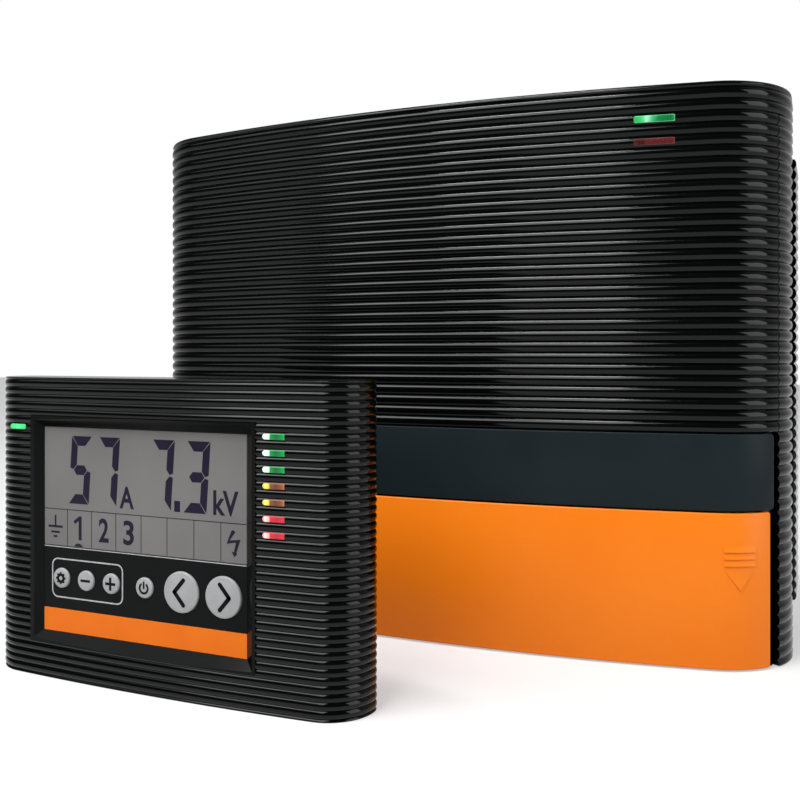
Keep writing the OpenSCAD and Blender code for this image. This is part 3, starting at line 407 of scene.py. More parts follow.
def rounded(x, z, r, steps=6):
    """A rectangle with round corners, in X and Z."""
    return (arc(x[1] - r, z[1] - r, r, 0, 90, steps) + arc(x[0] + r, z[1] - r, r, 90, 180, steps)
            + arc(x[0] + r, z[0] + r, r, 180, 270, steps) + arc(x[1] - r, z[0] + r, r, 270, 360, steps))


# Materials

# A grit, bloom or fleck too fine to show, as on film, keys and metals, is drawn coarser, at 0.4 to 0.8 mm.
NOISE_LOW, NOISE_HIGH = 0.3, 0.7  # the span that most of a noise's values lie in
ABS_IOR, FILM_IOR, ACRYLIC_IOR = 1.53, 1.6, 1.49
RIM_TURN = (-0.96, -0.5)  # the normal's Y where a light bar's rim begins and where it is reached


def linear(code):
    """An sRGB hex colour as linear red, green, blue and alpha."""
    channels = [int(code[i:i + 2], 16) / 255 for i in (1, 3, 5)]
    return [c / 12.92 if c <= 0.04045 else ((c + 0.055) / 1.055) ** 2.4 for c in channels] + [1.0]


def add(tree, kind, sockets=None, stops=None, **settings):
    """Adds one node. Its sockets are set to a value or linked to an output, and stops fill a colour ramp."""
    made = tree.nodes.new("ShaderNode" + kind)
    for name, value in settings.items():
        setattr(made, name, value)
    for name, value in (sockets or {}).items():
        if isinstance(value, bpy.types.NodeSocket):
            tree.links.new(value, made.inputs[name])
        else:
            made.inputs[name].default_value = value
    for i, (position, code) in enumerate(stops or []):
        ramp = made.color_ramp.elements
        stop = ramp[i] if i < 2 else ramp.new(position)
        stop.position = position
        stop.color = linear(code)
    return made


def surface(name, tones, cloud, roughness, grain, height, **constants):
    """A finish whose colour drifts between two tones, if it has them, over cloud mm, and whose grain,
    in mm, sets its roughness and stands height mm proud. Constants go onto the shader's own sockets."""
    made = bpy.data.materials.new(name)
    made.use_nodes = True
    tree = made.node_tree
    shader = tree.nodes["Principled BSDF"]
    coords = add(tree, "TexCoord").outputs["Object"]
    fine = add(tree, "TexNoise", {"Vector": coords, "Scale": 1 / (grain * MM), "Detail": 2})
    rough = add(tree, "MapRange", {"Value": fine.outputs["Fac"],
                                   "From Min": NOISE_LOW, "From Max": NOISE_HIGH,
                                   "To Min": roughness[0], "To Max": roughness[1]})
    relief = add(tree, "Bump", {"Height": fine.outputs["Fac"], "Distance": height * MM, "Strength": 1.0})
    if tones:
        drift = add(tree, "TexNoise", {"Vector": coords, "Scale": 1 / (cloud * MM), "Detail": 3})
        stops = [(NOISE_LOW, tones[0]), (NOISE_HIGH, tones[1])]
        tone = add(tree, "ValToRGB", {"Fac": drift.outputs["Fac"]}, stops)
        tree.links.new(tone.outputs["Color"], shader.inputs["Base Color"])
    tree.links.new(rough.outputs["Result"], shader.inputs["Roughness"])
    tree.links.new(relief.outputs["Normal"], shader.inputs["Normal"])
    for socket, value in constants.items():
        shader.inputs[socket.replace("_", " ")].default_value = value
    return made


# Glossy ABS moulded in a polished tool: near black, with a faint orange peel that softens each reflection.
black_abs = surface("glossy_moulded_abs_black", ("#020303", "#050706"), 40, (0.08, 0.12), 2.4, 0.0003,
                    IOR=ABS_IOR, Specular_IOR_Level=0.2)
# The same ABS from a spark-eroded tool: the band's slate satin, with a grit that spreads its sheen.
slate_abs = surface("satin_moulded_abs_slate", ("#182124", "#1d2629"), 30, (0.34, 0.42), 0.8, 0.002,
                    IOR=ABS_IOR, Specular_IOR_Level=0.08)
# Orange ABS off a polished tool, with slow drifts of colour where the melt flowed.
orange_abs = surface("glossy_moulded_abs_orange", ("#f27a0c", "#f58017"), 60, (0.3, 0.38), 2.4, 0.0008,
                     IOR=ABS_IOR, Specular_IOR_Level=0.2)
# Orange ink printed on polyester film: flat and even, with the film's fine matt tooth.
orange_film = surface("printed_polyester_film_orange", ("#ea6f0d", "#f07813"), 20, (0.4, 0.5), 0.6, 0.001,
                      IOR=FILM_IOR, Specular_IOR_Level=0.15)
# Dark grey ABS from an eroded tool, used for the tray and sockets.
dark_abs = surface("satin_moulded_abs_dark", ("#090a0b", "#0e1011"), 25, (0.32, 0.4), 0.8, 0.002,
                   IOR=ABS_IOR, Specular_IOR_Level=0.15)
# The bezel's ABS, semi-gloss: near black, with a sheen on the slope that faces up.
bezel_abs = surface("semi_gloss_moulded_abs_black", ("#060707", "#0a0b0b"), 25, (0.1, 0.14), 0.8, 0.0005,
                    IOR=ABS_IOR, Specular_IOR_Level=0.08)
# Black ink printed on polyester film, velvety and matt.
black_film = surface("printed_polyester_film_black", ("#0d0e0f", "#111213"), 18, (0.42, 0.52), 0.6, 0.001,
                     IOR=FILM_IOR, Specular_IOR_Level=0.06)
# Pale grey keys in soft-touch silicone-coated ABS.
key_grey = surface("soft_touch_keys_grey", ("#9fa0a1", "#a9aaab"), 6, (0.44, 0.54), 0.5, 0.003, IOR=1.45)
# Red, green and black nylon for the terminal knobs, with the bloom of a moulded grip.
red_nylon = surface("moulded_nylon_red", ("#a5151b", "#b81c21"), 9, (0.34, 0.46), 0.8, 0.008,
                    IOR=ABS_IOR)
green_nylon = surface("moulded_nylon_green", ("#0f6b37", "#157a41"), 9, (0.34, 0.46), 0.8, 0.008,
                      IOR=ABS_IOR)
black_nylon = surface("moulded_nylon_black", ("#111213", "#18191a"), 9, (0.34, 0.46), 0.8, 0.008,
                      IOR=ABS_IOR)
# Turned brass, lightly tarnished.
brass = surface("turned_brass", ("#b58a3c", "#cfa557"), 5, (0.2, 0.34), 0.5, 0.003, Metallic=1.0)
# Zinc-plated steel, with the soft spangle of the plating.
zinc = surface("zinc_plated_steel", ("#a9adb0", "#c1c4c6"), 4, (0.26, 0.42), 0.7, 0.003, Metallic=1.0)
# EPDM rubber: dull black with a dusty bloom.
epdm = surface("moulded_epdm_rubber", ("#0f0f0f", "#191919"), 8, (0.7, 0.85), 0.5, 0.01, IOR=1.5)
# Silicone mat, pale grey and waxy.
silicone = surface("moulded_silicone_mat", ("#8d8f90", "#9b9d9e"), 8, (0.5, 0.62), 0.6, 0.004, IOR=1.41)
# Glass-fibre board under green solder mask.
solder_mask = surface("green_solder_mask_board", ("#0d4a26", "#156436"), 3, (0.22, 0.34), 0.9, 0.01,
                      IOR=1.55)
# PVC ribbon cable, grey.
ribbon_pvc = surface("grey_pvc_ribbon", ("#84878a", "#94979a"), 3, (0.42, 0.54), 1.2, 0.02, IOR=ABS_IOR)
# PVC insulation of the output leads.
lead_pvc = surface("red_pvc_insulation", ("#8c1216", "#9d181c"), 5, (0.36, 0.5), 0.8, 0.006, IOR=ABS_IOR)
# Heat-shrunk PVC sleeve of the capacitors.
sleeve = surface("shrunk_pvc_sleeve_blue", ("#123258", "#193f6c"), 10, (0.26, 0.38), 1.0, 0.004, IOR=ABS_IOR)
# Stacked silicon-steel sheets.
laminations = surface("stacked_silicon_steel", ("#55585a", "#6c6f71"), 2, (0.4, 0.55), 0.5, 0.02,
                      Metallic=1.0)
# Enamelled copper winding under varnish.
copper = surface("varnished_copper_winding", ("#8a4a1f", "#a75f2b"), 2, (0.24, 0.36), 0.6, 0.05,
                 Metallic=1.0)
# Black anodised aluminium.
anodised = surface("black_anodised_aluminium", ("#141516", "#1c1d1e"), 6, (0.36, 0.46), 0.5, 0.003,
                   Metallic=0.6)
# Frosted acrylic of the lamps and the backlight.
frosted = surface("frosted_acrylic", ("#d8dad8", "#e6e8e6"), 6, (0.45, 0.55), 0.6, 0.004, IOR=ACRYLIC_IOR)
# Reflective liquid-crystal glass: a warm grey with the faint cloud of its polariser.
lcd_grey = surface("reflective_lcd_polariser", ("#737271", "#7b7a79"), 30, (0.34, 0.4), 0.8, 0.0005,
                   IOR=1.5, Specular_IOR_Level=0.25)
# Liquid-crystal segments: nearly black, with the violet of the twisted film.
segment_ink = surface("liquid_crystal_segments", ("#140d26", "#1a132e"), 8, (0.4, 0.5), 0.8, 0.0005,
                      IOR=1.5, Specular_IOR_Level=0.2)
# Silver ink screened on the film: pale grey with a fine metal fleck. It also colours the pale line under the
# window, which is a painted highlight of the window's lower edge.
silver_ink_and_painted_highlight = surface("screened_silver_ink_and_painted_highlight", ("#a9aaab", "#c4c5c6"), 1.2, (0.35, 0.5), 0.4, 0.002,
                     Metallic=0.3)
# Black epoxy ink printed on the keys.
key_ink = surface("printed_epoxy_ink_black", ("#060607", "#0b0b0c"), 3, (0.4, 0.5), 0.4, 0.002,
                  IOR=1.5, Specular_IOR_Level=0.1)


def glow(name, stops, rim, span, level):
    """Tinted acrylic lit from behind: its colour and its glow follow the stops over a span of X in mm,
    and go over to the rim's colour where its edges turn away from the front."""
    made = surface(name, None, 4, (0.2, 0.3), 0.8, 0.003, IOR=ACRYLIC_IOR, Specular_IOR_Level=0.3)
    tree = made.node_tree
    shader = tree.nodes["Principled BSDF"]
    coords = add(tree, "TexCoord").outputs
    point = add(tree, "SeparateXYZ", {"Vector": coords["Object"]})
    along = add(tree, "MapRange", {"Value": point.outputs["X"],
                                   "From Min": span[0] * MM, "From Max": span[1] * MM})
    body = add(tree, "ValToRGB", {"Fac": along.outputs["Result"]}, stops)
    facing = add(tree, "SeparateXYZ", {"Vector": coords["Normal"]})
    turned = add(tree, "MapRange", {"Value": facing.outputs["Y"],
                                    "From Min": RIM_TURN[0], "From Max": RIM_TURN[1]})
    colour = add(tree, "MixRGB", {"Fac": turned.outputs["Result"], "Color1": body.outputs["Color"],
                                  "Color2": linear(rim)})
    tree.links.new(colour.outputs["Color"], shader.inputs["Base Color"])
    tree.links.new(colour.outputs["Color"], shader.inputs["Emission Color"])
    shader.inputs["Emission Strength"].default_value = level
    return made


# Tinted acrylic light bars: whitest over the lamp behind them, deepest past it and lighter at the far end.
LEVEL_SPAN = (PAD_AT[0] + LEVEL_X, PAD_AT[0] + LEVEL_X + LEVEL_L)
STATUS_SPAN = (PAD_AT[0] + STATUS_X, PAD_AT[0] + STATUS_X + LEVEL_L)
green_level = glow("lit_green_acrylic", [
    (0.0, "#a4efc2"), (0.1, "#f2fff7"), (0.3, "#dcfbe8"), (0.36, "#16813d"),
    (0.62, "#0d5c2b"), (0.84, "#0e7636"), (1.0, "#12943f")], "#2fae62", LEVEL_SPAN, 0.6)
amber_level = glow("lit_amber_acrylic", [
    (0.0, "#b3a423"), (0.14, "#eee676"), (0.3, "#d8cb40"), (0.36, "#7d4c32"),
    (0.62, "#5d392a"), (0.86, "#80492f"), (1.0, "#a96a4a")], "#9a6440", LEVEL_SPAN, 0.4)
red_level = glow("lit_red_acrylic", [
    (0.0, "#d8323f"), (0.13, "#ffd6d1"), (0.28, "#f3aeaa"), (0.38, "#c52f3b"),
    (0.66, "#a92833"), (1.0, "#c2323d")], "#d8303d", LEVEL_SPAN, 0.45)
status_green = glow("lit_status_acrylic", [
    (0.0, "#39c46d"), (0.5, "#52d686"), (1.0, "#34bc68")], "#35b566", STATUS_SPAN, 0.5)
green_lamp = glow("lit_green_light_pipe", [
    (0.0, "#1a9a4b"), (0.16, "#2cae60"), (0.25, "#4fbf80"), (0.3, "#93dcb2"),
    (0.45, "#3f9f6a"), (0.6, "#0c6f35"), (0.9, "#07612c"), (1.0, "#128443")], "#79e6a6", LAMP_X, 0.4)
# The red pipe has no lamp lit behind it. Its faint glow is painted glow, its lighter rounded edges are a
# painted highlight, and its colour goes lighter and darker along it.
unlit_red_painted_glow = glow("unlit_red_light_pipe_painted_glow", [
    (0.0, "#5a2620"), (0.1, "#40150f"), (0.22, "#3a110c"), (0.3, "#571f1f"),
    (0.9, "#541c1d"), (1.0, "#5e2826")], "#7a4746", LAMP_X, 0.12)


# Finishes by the names of the CAD's colours. The lenses' and the window's nodes are all replaced below.
FINISHES = {
    "black_shell": black_abs, "slate_band": slate_abs, "orange_cover": orange_abs,
    "orange_strip": orange_film, "dark_plastic": dark_abs, "black_film": black_film, "grey_keys": key_grey,
    "window": lcd_grey, "display": lcd_grey, "backlight": frosted, "green_lens": green_level,
    "amber_lens": amber_level, "red_lens": red_level, "dark_red_lens": unlit_red_painted_glow, "red_knob": red_nylon,
    "green_knob": green_nylon, "black_knob": black_nylon, "brass": brass, "zinc_steel": zinc,
    "seal_rubber": epdm, "mat_rubber": silicone, "board": solder_mask, "ribbon": ribbon_pvc,
    "lamp": frosted, "lead": lead_pvc, "capacitor": sleeve, "core_steel": laminations, "winding": copper,
    "sink": anodised,
}
for node in frame["nodes"].values():
    for held in node.material_slots:
        held.material = FINISHES[held.material.name.split(".")[0]]
frame["nodes"]["display_frame"].material_slots[0].material = bezel_abs


# Front shell: the ribbed front and roof

# A line of ribs is carried round the bow and the corners, and the wall behind the band and the cover stands
# back from it.
shell = rib_line("front_shell_moulding", CASE_RIB, BAND_TOP, FRONT_RIBS)
rib_cap(shell, CASE_RIB, ROOF_GROOVE, CASE_H)
edit(shell)
pick(shell, "VERT", lambda v: v.co.z < BAND_TOP * MM + NEAR)
draw_out(0, LOWER_FACE - CASE_RIB["depth"], 0)
draw_out(0, 0, -BAND_TOP)
bpy.ops.mesh.select_all(action="SELECT")
turn((0, FRONT_R, 0), BOW, BOW_STEPS)
turn(CORNER, SEAM_TURN - BOW, CORNER_STEPS)
pick(shell, "VERT", lambda v: v.co.z > ROOF_FOOT * MM - NEAR, among_selected=True)
turn(CORNER, 90 - SEAM_TURN, FLANK_STEPS)
draw_out(0, MID_BACK - CORNER[1], 0)
close()
mirror(shell)
edit(shell)
pick(shell, "VERT", lambda v: v.co.z > CASE_H * MM - NEAR)
bpy.ops.mesh.edge_face_add()
pick(shell, "VERT", lambda v: v.co.y > MID_BACK * MM - NEAR)
bpy.ops.mesh.edge_face_add()
face_out()
close()
thicken(shell, WALL)
openings = [((-BAY_X, BAY_X), (CUT_FRONT, BAY_DEEP), BAY_Z)]
openings += [(LAMP_X, (0, LAMP_SLOT), (z - LAMP_H / 2, z + LAMP_H / 2)) for z in LAMP_ZS]
openings += [((x - RAIL_SLOT / 2, x + RAIL_SLOT / 2), (CUT_FRONT, RAIL_Y), (-CLEAR, RAIL_TOP + RAIL_PLAY))
             for x in (-RAIL_X, RAIL_X)]
cut(shell, boxes("shell_openings", openings))
# A lip inside the roof's back and flanks closes the seam above the mid shell to sight.
shell = join(shell, boxes("roof_lip", [((-LIP_X, LIP_X), LIP_Y, (MID_TOP, ROOF_FOOT + WALL))]))
place(shell, CASE_AT)
settle(shell, "energizer", "black_shell", black_abs, "front_shell")


# Band and cover: flat strips carried round the front, flush with the ribs' crests, with rounded ends.

def corner_angle(point):
    """How far a point has gone round the right corner, in degrees."""
    return math.degrees(math.atan2(point.x - CORNER[0] * MM, CORNER[1] * MM - point.y))


def upright(name, x, y, z, thick):
    """An upright rectangle's outline in Y and Z, in edit mode."""
    piece = fresh(name, "plane", size=1, location=mm(x, y, (z[0] + z[1]) / 2),
                  rotation=(0, math.radians(90), 0), scale=(*mm(z[1] - z[0], thick), 1))
    bpy.ops.mesh.delete(type="ONLY_FACE")
    bpy.ops.mesh.select_all(action="SELECT")
    return piece


def strip(name, z, thick, end, corner):
    """The right half of a strip that goes round the corner to its end angle, where its corners are round."""
    piece = upright(name, 0, thick / 2, z, thick)
    turn((0, FRONT_R, 0), BOW, BOW_STEPS)
    turn(CORNER, end - BOW - STRIP_TAIL, STRIP_STEPS)
    turn(CORNER, STRIP_TAIL, 1)
    bpy.ops.mesh.edge_face_add()
    pick(piece, "EDGE", lambda e: all(abs(corner_angle(v.co) - end) < 0.01 for v in e.verts)
         and abs(e.verts[0].co.z - e.verts[1].co.z) < TOUCH)
    bpy.ops.mesh.bevel(offset=corner * MM, segments=5, affect="EDGES")
    face_out()
    close()
    return piece


def soften(piece, width, angle=50):
    """Rounds a piece's sharp edges."""
    apply(piece, "BEVEL", width=width * MM, segments=3, limit_method="ANGLE",
          angle_limit=math.radians(angle))


band = strip("fascia_band_moulding", BAND_Z, BAND_T, BAND_END, BAND_ROUND)
mirror(band)
soften(band, BAND_EDGE)
place(band, CASE_AT)
settle(band, "energizer", "slate_band", slate_abs, "fascia_band")

cover = strip("terminal_cover_moulding", COVER_Z, COVER_T, COVER_END, COVER_ROUND)
mirror(cover)
soften(cover, COVER_EDGE)


def arrow_bar(z):
    """A bar on the cover's right corner, between two heights, that rises from its head to its foot."""
    face = CORNER[1] - CORNER_R
    piece = upright("arrow_bar", CORNER[0], face + ARROW_DEEP / 2 - ARROW_PROUD, z, ARROW_DEEP)
    pick(piece, "VERT", lambda v: v.co.z > z[1] * MM - TOUCH and v.co.y < face * MM)
    bpy.ops.transform.translate(value=mm(0, ARROW_PROUD - ARROW_HEAD_PROUD, 0))
    bpy.ops.mesh.select_all(action="SELECT")
    bpy.ops.transform.rotate(value=-math.radians(ARROW_TURN - ARROW_HALF), orient_axis="Z",
                             center_override=mm(*CORNER))
    bpy.ops.mesh.edge_face_add()
    turn(CORNER, 2 * ARROW_HALF, ARROW_STEPS)
    face_out()
    return piece


def point_down(piece):
    """Cuts the open bar to a head that points down."""
    a = math.radians(ARROW_TURN)
    tip = mm(CORNER[0] + CORNER_R * math.sin(a), CORNER[1] - CORNER_R * math.cos(a), ARROW_TIP)
    rise = ARROW_HEAD - ARROW_TIP
    for side in (-rise, rise):
        bpy.ops.mesh.select_all(action="SELECT")
        slope = (side * math.cos(a), side * math.sin(a), -ARROW_W / 2)
        bpy.ops.mesh.bisect(plane_co=tip, plane_no=slope, use_fill=True, clear_outer=True)
    return piece


bars = []
for i in range(ARROW_BARS):
    foot = ARROW_HEAD + ARROW_PITCH * i
    bars.append(arrow_bar((foot + ARROW_GAP, foot + ARROW_PITCH)))
    close()
bars.append(point_down(arrow_bar((ARROW_TIP, ARROW_HEAD))))
close()
arrow = join(*bars)
mirror(arrow)
rail_parts = [(STEM_W, (STEM_FRONT, RAIL_Y + STEM_LAP)), (HEAD_W, (RAIL_Y, RAIL_Y + HEAD_T))]
rails = boxes("cover_rails", [((x - w / 2, x + w / 2), y, (COVER_Z[0], RAIL_TOP))
                              for x in (-RAIL_X, RAIL_X) for w, y in rail_parts])
cover = join(cover, arrow, rails)
place(cover, CASE_AT)
settle(cover, "cover", "orange_cover", orange_abs, "terminal_cover")


# Controller's front: finer ribs round a flatter bow, closed above and below, open where the bezel sits.
pad = rib_line("controller_front_moulding", PAD_RIB, PAD_FOOT, PAD_RIBS)
rib_cap(pad, PAD_RIB, PAD_GROOVE, PAD_H)
rib_cap(pad, PAD_RIB, PAD_FOOT, 0, up=-1)
edit(pad)
bpy.ops.mesh.select_all(action="SELECT")
turn((0, PAD_FRONT_R, 0), PAD_BOW, PAD_BOW_STEPS)
turn(PAD_CORNER, 90 - PAD_BOW, PAD_CORNER_STEPS)
close()
mirror(pad)
edit(pad)
for edge in (0, PAD_H):
    pick(pad, "VERT", lambda v: abs(v.co.z - edge * MM) < TOUCH)
    bpy.ops.mesh.edge_face_add()
face_out()
close()
thicken(pad, PAD_WALL)


def light_bar(x, z, round_right=False):
    """A bar with a round left end, and a round right one too where asked."""
    r = LEVEL_H / 2
    end = x + LEVEL_L
    right = arc(end - r, z, r, -90, 90, ROUND_STEPS) if round_right else [(end, z - r), (end, z + r)]
    return right + arc(x + r, z, r, 90, 270, ROUND_STEPS)


green_bars, amber_bars, red_bars = [
    [light_bar(LEVEL_X, LEVEL_TOP - LEVEL_PITCH * i) for i in rows] for rows in ((0, 1, 2), (3, 4), (5, 6))]
status_bar = light_bar(STATUS_X, LEVEL_TOP, round_right=True)
slots = green_bars + amber_bars + red_bars + [status_bar]
cut(pad, inlay("light_slots", slots, -CLEAR, CLEAR + LIGHT_SLOT))
cut(pad, boxes("bezel_slot", [(BEZEL_X, (-CLEAR, BEZEL_DEEP), BEZEL_Z)]))
place(pad, PAD_AT)
settle(pad, "controller", "black_shell", black_abs, "controller_front")


# Lights: tinted bars that fill their slots and follow the bow, with soft front edges.

def lens(name, outlines, back, radius, at):
    """Bars between a bow's round, of a radius, and a flat back."""
    piece = inlay(name, outlines, -CLEAR, back + CLEAR)
    drum = fresh("bow_drum", "cylinder", vertices=DRUM_SIDES, radius=radius * MM, depth=2 * CASE_H * MM,
                 location=mm(0, radius, CASE_H / 2))
    close()
    apply(piece, "BOOLEAN", operation="INTERSECT", object=drum, solver="MANIFOLD")
    bpy.data.objects.remove(drum)
    soften(piece, LENS_EDGE)
    place(piece, at)
    return piece


def case_light(name, z, slot, finish, node):
    outline = rounded(LAMP_X, (z - LAMP_H / 2, z + LAMP_H / 2), LAMP_ROUND, 3)
    settle(lens(name, [outline], LAMP_BACK, FRONT_R, CASE_AT), "energizer", slot, finish, node)


def pad_light(name, outlines, slot, finish, node):
    settle(lens(name, outlines, LIGHT_BACK, PAD_FRONT_R, PAD_AT), "controller", slot, finish, node)


case_light("green_light_bar", LAMP_ZS[0], "green_lens", green_lamp, "green_light_pipe")
case_light("red_light_bar", LAMP_ZS[1], "dark_red_lens", unlit_red_painted_glow, "red_light_pipe")
pad_light("green_level_bars", green_bars, "green_lens", green_level, "green_level_lights")
pad_light("amber_level_bars", amber_bars, "amber_lens", amber_level, "amber_level_lights")
pad_light("red_level_bars", red_bars, "red_lens", red_level, "red_level_lights")
pad_light("status_bar", [status_bar], "green_lens", status_green, "status_light")


# Display: the window with softened edges, and its segments and marks as thin shapes on its face.
WINDOW_X = (PANEL_X[0] + WINDOW_PLAY, PANEL_X[1] - WINDOW_PLAY)
WINDOW_Z = (GLASS_Z + WINDOW_PLAY, PANEL_Z[1] - WINDOW_PLAY)
window = inlay("display_window_plate", [rounded(WINDOW_X, WINDOW_Z, WINDOW_ROUND, 3)], PANEL_Y, WINDOW_T)
soften(window, WINDOW_EDGE)
place(window, PAD_AT)
settle(window, "controller", "display", lcd_grey, "display_window")

# Figures and marks, in mm from the controller's middle and foot. A figure's segments are a stroke wide
# upright and a bar high across, with a gap between them.
DIGIT_Z = (71.0, 98.4)
STROKE, BAR, GAP, SHOULDER = 3.2, 3.9, 0.28, 0.5
LEAN, LEAN_ROOM = math.tan(math.radians(4)), 1.2
DIGITS = (((-43.4, -31.8), "afgcd"), ((-29.5, -17.9), "abc"), ((-3.2, 8.5), "abc"), ((13.0, 24.9), "abgcd"))
POINT = ((8.9, 11.6), (71.0, 75.2))
CELL_EDGE, CELL_TOP, CELL_LINE = 0.4, (68.2, 68.5), 0.28
CELL_FOOT, CELL_X = GLASS_Z + CELL_EDGE, (PANEL_X[0] + CELL_EDGE, PANEL_X[1] - CELL_EDGE)
CELL_LINES = (-43.9, -31.5, -19.3, -6.9, 5.5, 18.0, 30.2)
EARTH_BARS = (((-50.6, -49.8), (61.3, 65.8)), ((-53.9, -46.4), (60.7, 61.6)),
              ((-52.4, -48.0), (58.5, 59.3)), ((-51.2, -49.3), (56.7, 57.5)))
ONE = [(-36.6, 66.0), (-37.8, 66.0), (-40.7, 63.9), (-40.1, 62.7), (-38.1, 64.1), (-38.1, 56.4),
       (-36.6, 56.4)]
DOT_X, DOT_R, DOT_CUT = -38.2, 2.6, 30
BOLT = [(34.9, 65.6), (35.6, 65.9), (36.7, 65.2), (34.1, 61.9), (38.9, 62.5), (37.1, 57.5), (37.4, 56.9),
        (36.1, 55.8), (35.0, 57.9), (36.0, 57.6), (36.9, 61.3), (32.8, 60.6)]
FIGURES = (("2", (-27.8, -22.9), (56.4, 66.0)), ("3", (-15.6, -10.4), (56.3, 66.0)),
           ("A", (-17.4, -10.4), (70.6, 79.3)), ("kV", (26.8, 38.0), (70.9, 80.3)))


def digit(x, on):
    """The segments of a seven-segment figure that are on, leaning a little, between two places in X. Its
    width, height, middle, stroke, bar and gap go by their first letters."""
    w, h = x[1] - x[0] - LEAN_ROOM, DIGIT_Z[1] - DIGIT_Z[0]
    m, t, b, g = h / 2, STROKE, BAR, GAP
    upper, lower = m + g + SHOULDER, m - g - SHOULDER
    shapes = {
        "a": [(g, h), (w - g, h), (w - t - g / 2, h - b), (t + g / 2, h - b)],
        "b": [(w, h - g), (w, upper), (w - t / 2, m + g), (w - t, m + b / 2 + g), (w - t, h - b - g / 2)],
        "c": [(w, lower), (w, g), (w - t, b + g / 2), (w - t, m - b / 2 - g), (w - t / 2, m - g)],
        "d": [(w - g, 0), (g, 0), (t + g / 2, b), (w - t - g / 2, b)],
        "e": [(0, g), (0, lower), (t / 2, m - g), (t, m - b / 2 - g), (t, b + g / 2)],
        "f": [(0, upper), (0, h - g), (t, h - b - g / 2), (t, m + b / 2 + g), (t / 2, m + g)],
        "g": [(t / 2 + g, m), (t + g / 2, m + b / 2), (w - t - g / 2, m + b / 2), (w - t / 2 - g, m),
              (w - t - g / 2, m - b / 2), (t + g / 2, m - b / 2)],
    }
    return [[(x[0] + px + LEAN * pz, DIGIT_Z[0] + pz) for px, pz in shapes[s]] for s in on]


marks = [segment for x, on in DIGITS for segment in digit(x, on)]
marks += [block(*POINT), block(CELL_X, CELL_TOP)]
marks += [block((x - CELL_LINE / 2, x + CELL_LINE / 2), (CELL_FOOT, CELL_TOP[0])) for x in CELL_LINES]
marks += [block(x, z) for x, z in EARTH_BARS]
dot_z = CELL_FOOT - DOT_R * math.sin(math.radians(DOT_CUT))
marks += [ONE, arc(DOT_X, dot_z, DOT_R, DOT_CUT, 180 - DOT_CUT, 10), BOLT]
segments = inlay("display_segments", marks, PRINT_FRONT, PRINT)
figures = [lettering("figure_" + words, words, x, z, PRINT_FRONT, PRINT) for words, x, z in FIGURES]
segments = join(segments, *figures)
place(segments, PAD_AT)
settle(segments, "controller", "black_film", segment_ink)

# The lines round the first three keys, printed on the overlay, and a pale line under the window that is a
# painted highlight of the window's lower edge.
KEY_FRAME = rounded((-52.0, -15.7), (32.3, 48.4), 3.0)
FRAME_LINE = 0.55
PAINTED_WINDOW_HIGHLIGHT = block((PANEL_X[0] + 0.3, PANEL_X[1] - 0.3), (GLASS_Z - 0.5, GLASS_Z - 0.15))
outline = ring("key_lines_and_painted_window_highlight", KEY_FRAME, FRAME_LINE, PRINT_FRONT, PRINT)
outline = join(outline, inlay("painted_window_highlight", [PAINTED_WINDOW_HIGHLIGHT], PRINT_FRONT, PRINT))
place(outline, PAD_AT)
settle(outline, "controller", "grey_keys", silver_ink_and_painted_highlight)


# Keys: a round cap on its flange, with its rim rounded and a printed mark on its face.

def key_cap(name, x, r):
    flange = KEY_BACK - KEY_FLANGE_T
    piece = fresh(name, "cylinder", vertices=KEY_SIDES, radius=(r + KEY_FLANGE) * MM,
                  depth=KEY_FLANGE_T * MM, location=mm(x, KEY_BACK - KEY_FLANGE_T / 2, KEY_Z),
                  rotation=(math.radians(90), 0, 0))
    pick(piece, "FACE", lambda f: f.normal.y < -0.9)
    bpy.ops.mesh.inset(thickness=KEY_FLANGE * MM)
    draw_out(0, KEY_FRONT - flange, 0)
    pick(piece, "EDGE", lambda e: all(v.co.y < KEY_FRONT * MM + NEAR for v in e.verts))
    bpy.ops.mesh.bevel(offset=KEY_EDGE * MM, segments=4, affect="EDGES")
    face_out()
    close()
    return piece


def gear(teeth=8, r=2.0, tooth=0.5):
    """A gear's outline: each tooth is 18 degrees wide at its tip and 26 at its foot."""
    rim = []
    for i in range(teeth):
        middle = 360 / teeth * i
        for reach, turned in ((r, -13), (r + tooth, -9), (r + tooth, 9), (r, 13)):
            a = math.radians(middle + turned)
            rim.append((reach * math.cos(a), reach * math.sin(a)))
    return rim


def cross(reach, half):
    """Two bars that cross, as three rectangles."""
    return [block((-reach[0], reach[0]), (-half, half)), block((-half, half), (half, reach[1])),
            block((-half, half), (-reach[1], -half))]


def open_ring(z, outer, inner, start, end):
    """A ring's outline with a gap in it, between two angles in degrees."""
    return arc(0, z, outer, start, end, 30) + arc(0, z, inner, end, start, 30)


def chevron(tip, reach=(1.3, 4.8), width=1.7):
    """An arrowhead of two strokes whose tip is to the left with a negative tip, or else to the right."""
    back = -math.copysign(reach[0], tip)
    return stroke([(back, reach[1]), (tip, 0), (back, -reach[1])], width)


GEAR_HOLE = 0.85
icons = {
    "settings": [gear()],
    "minus": [block((-2.4, 2.4), (-0.5, 0.5))],
    "plus": cross((2.5, 2.6), 0.55),
    "power": [open_ring(-0.1, 2.35, 1.5, 122, 418), block((-0.42, 0.42), (-0.3, 2.6))],
    "left": chevron(-2.9),
    "right": chevron(2.9),
}
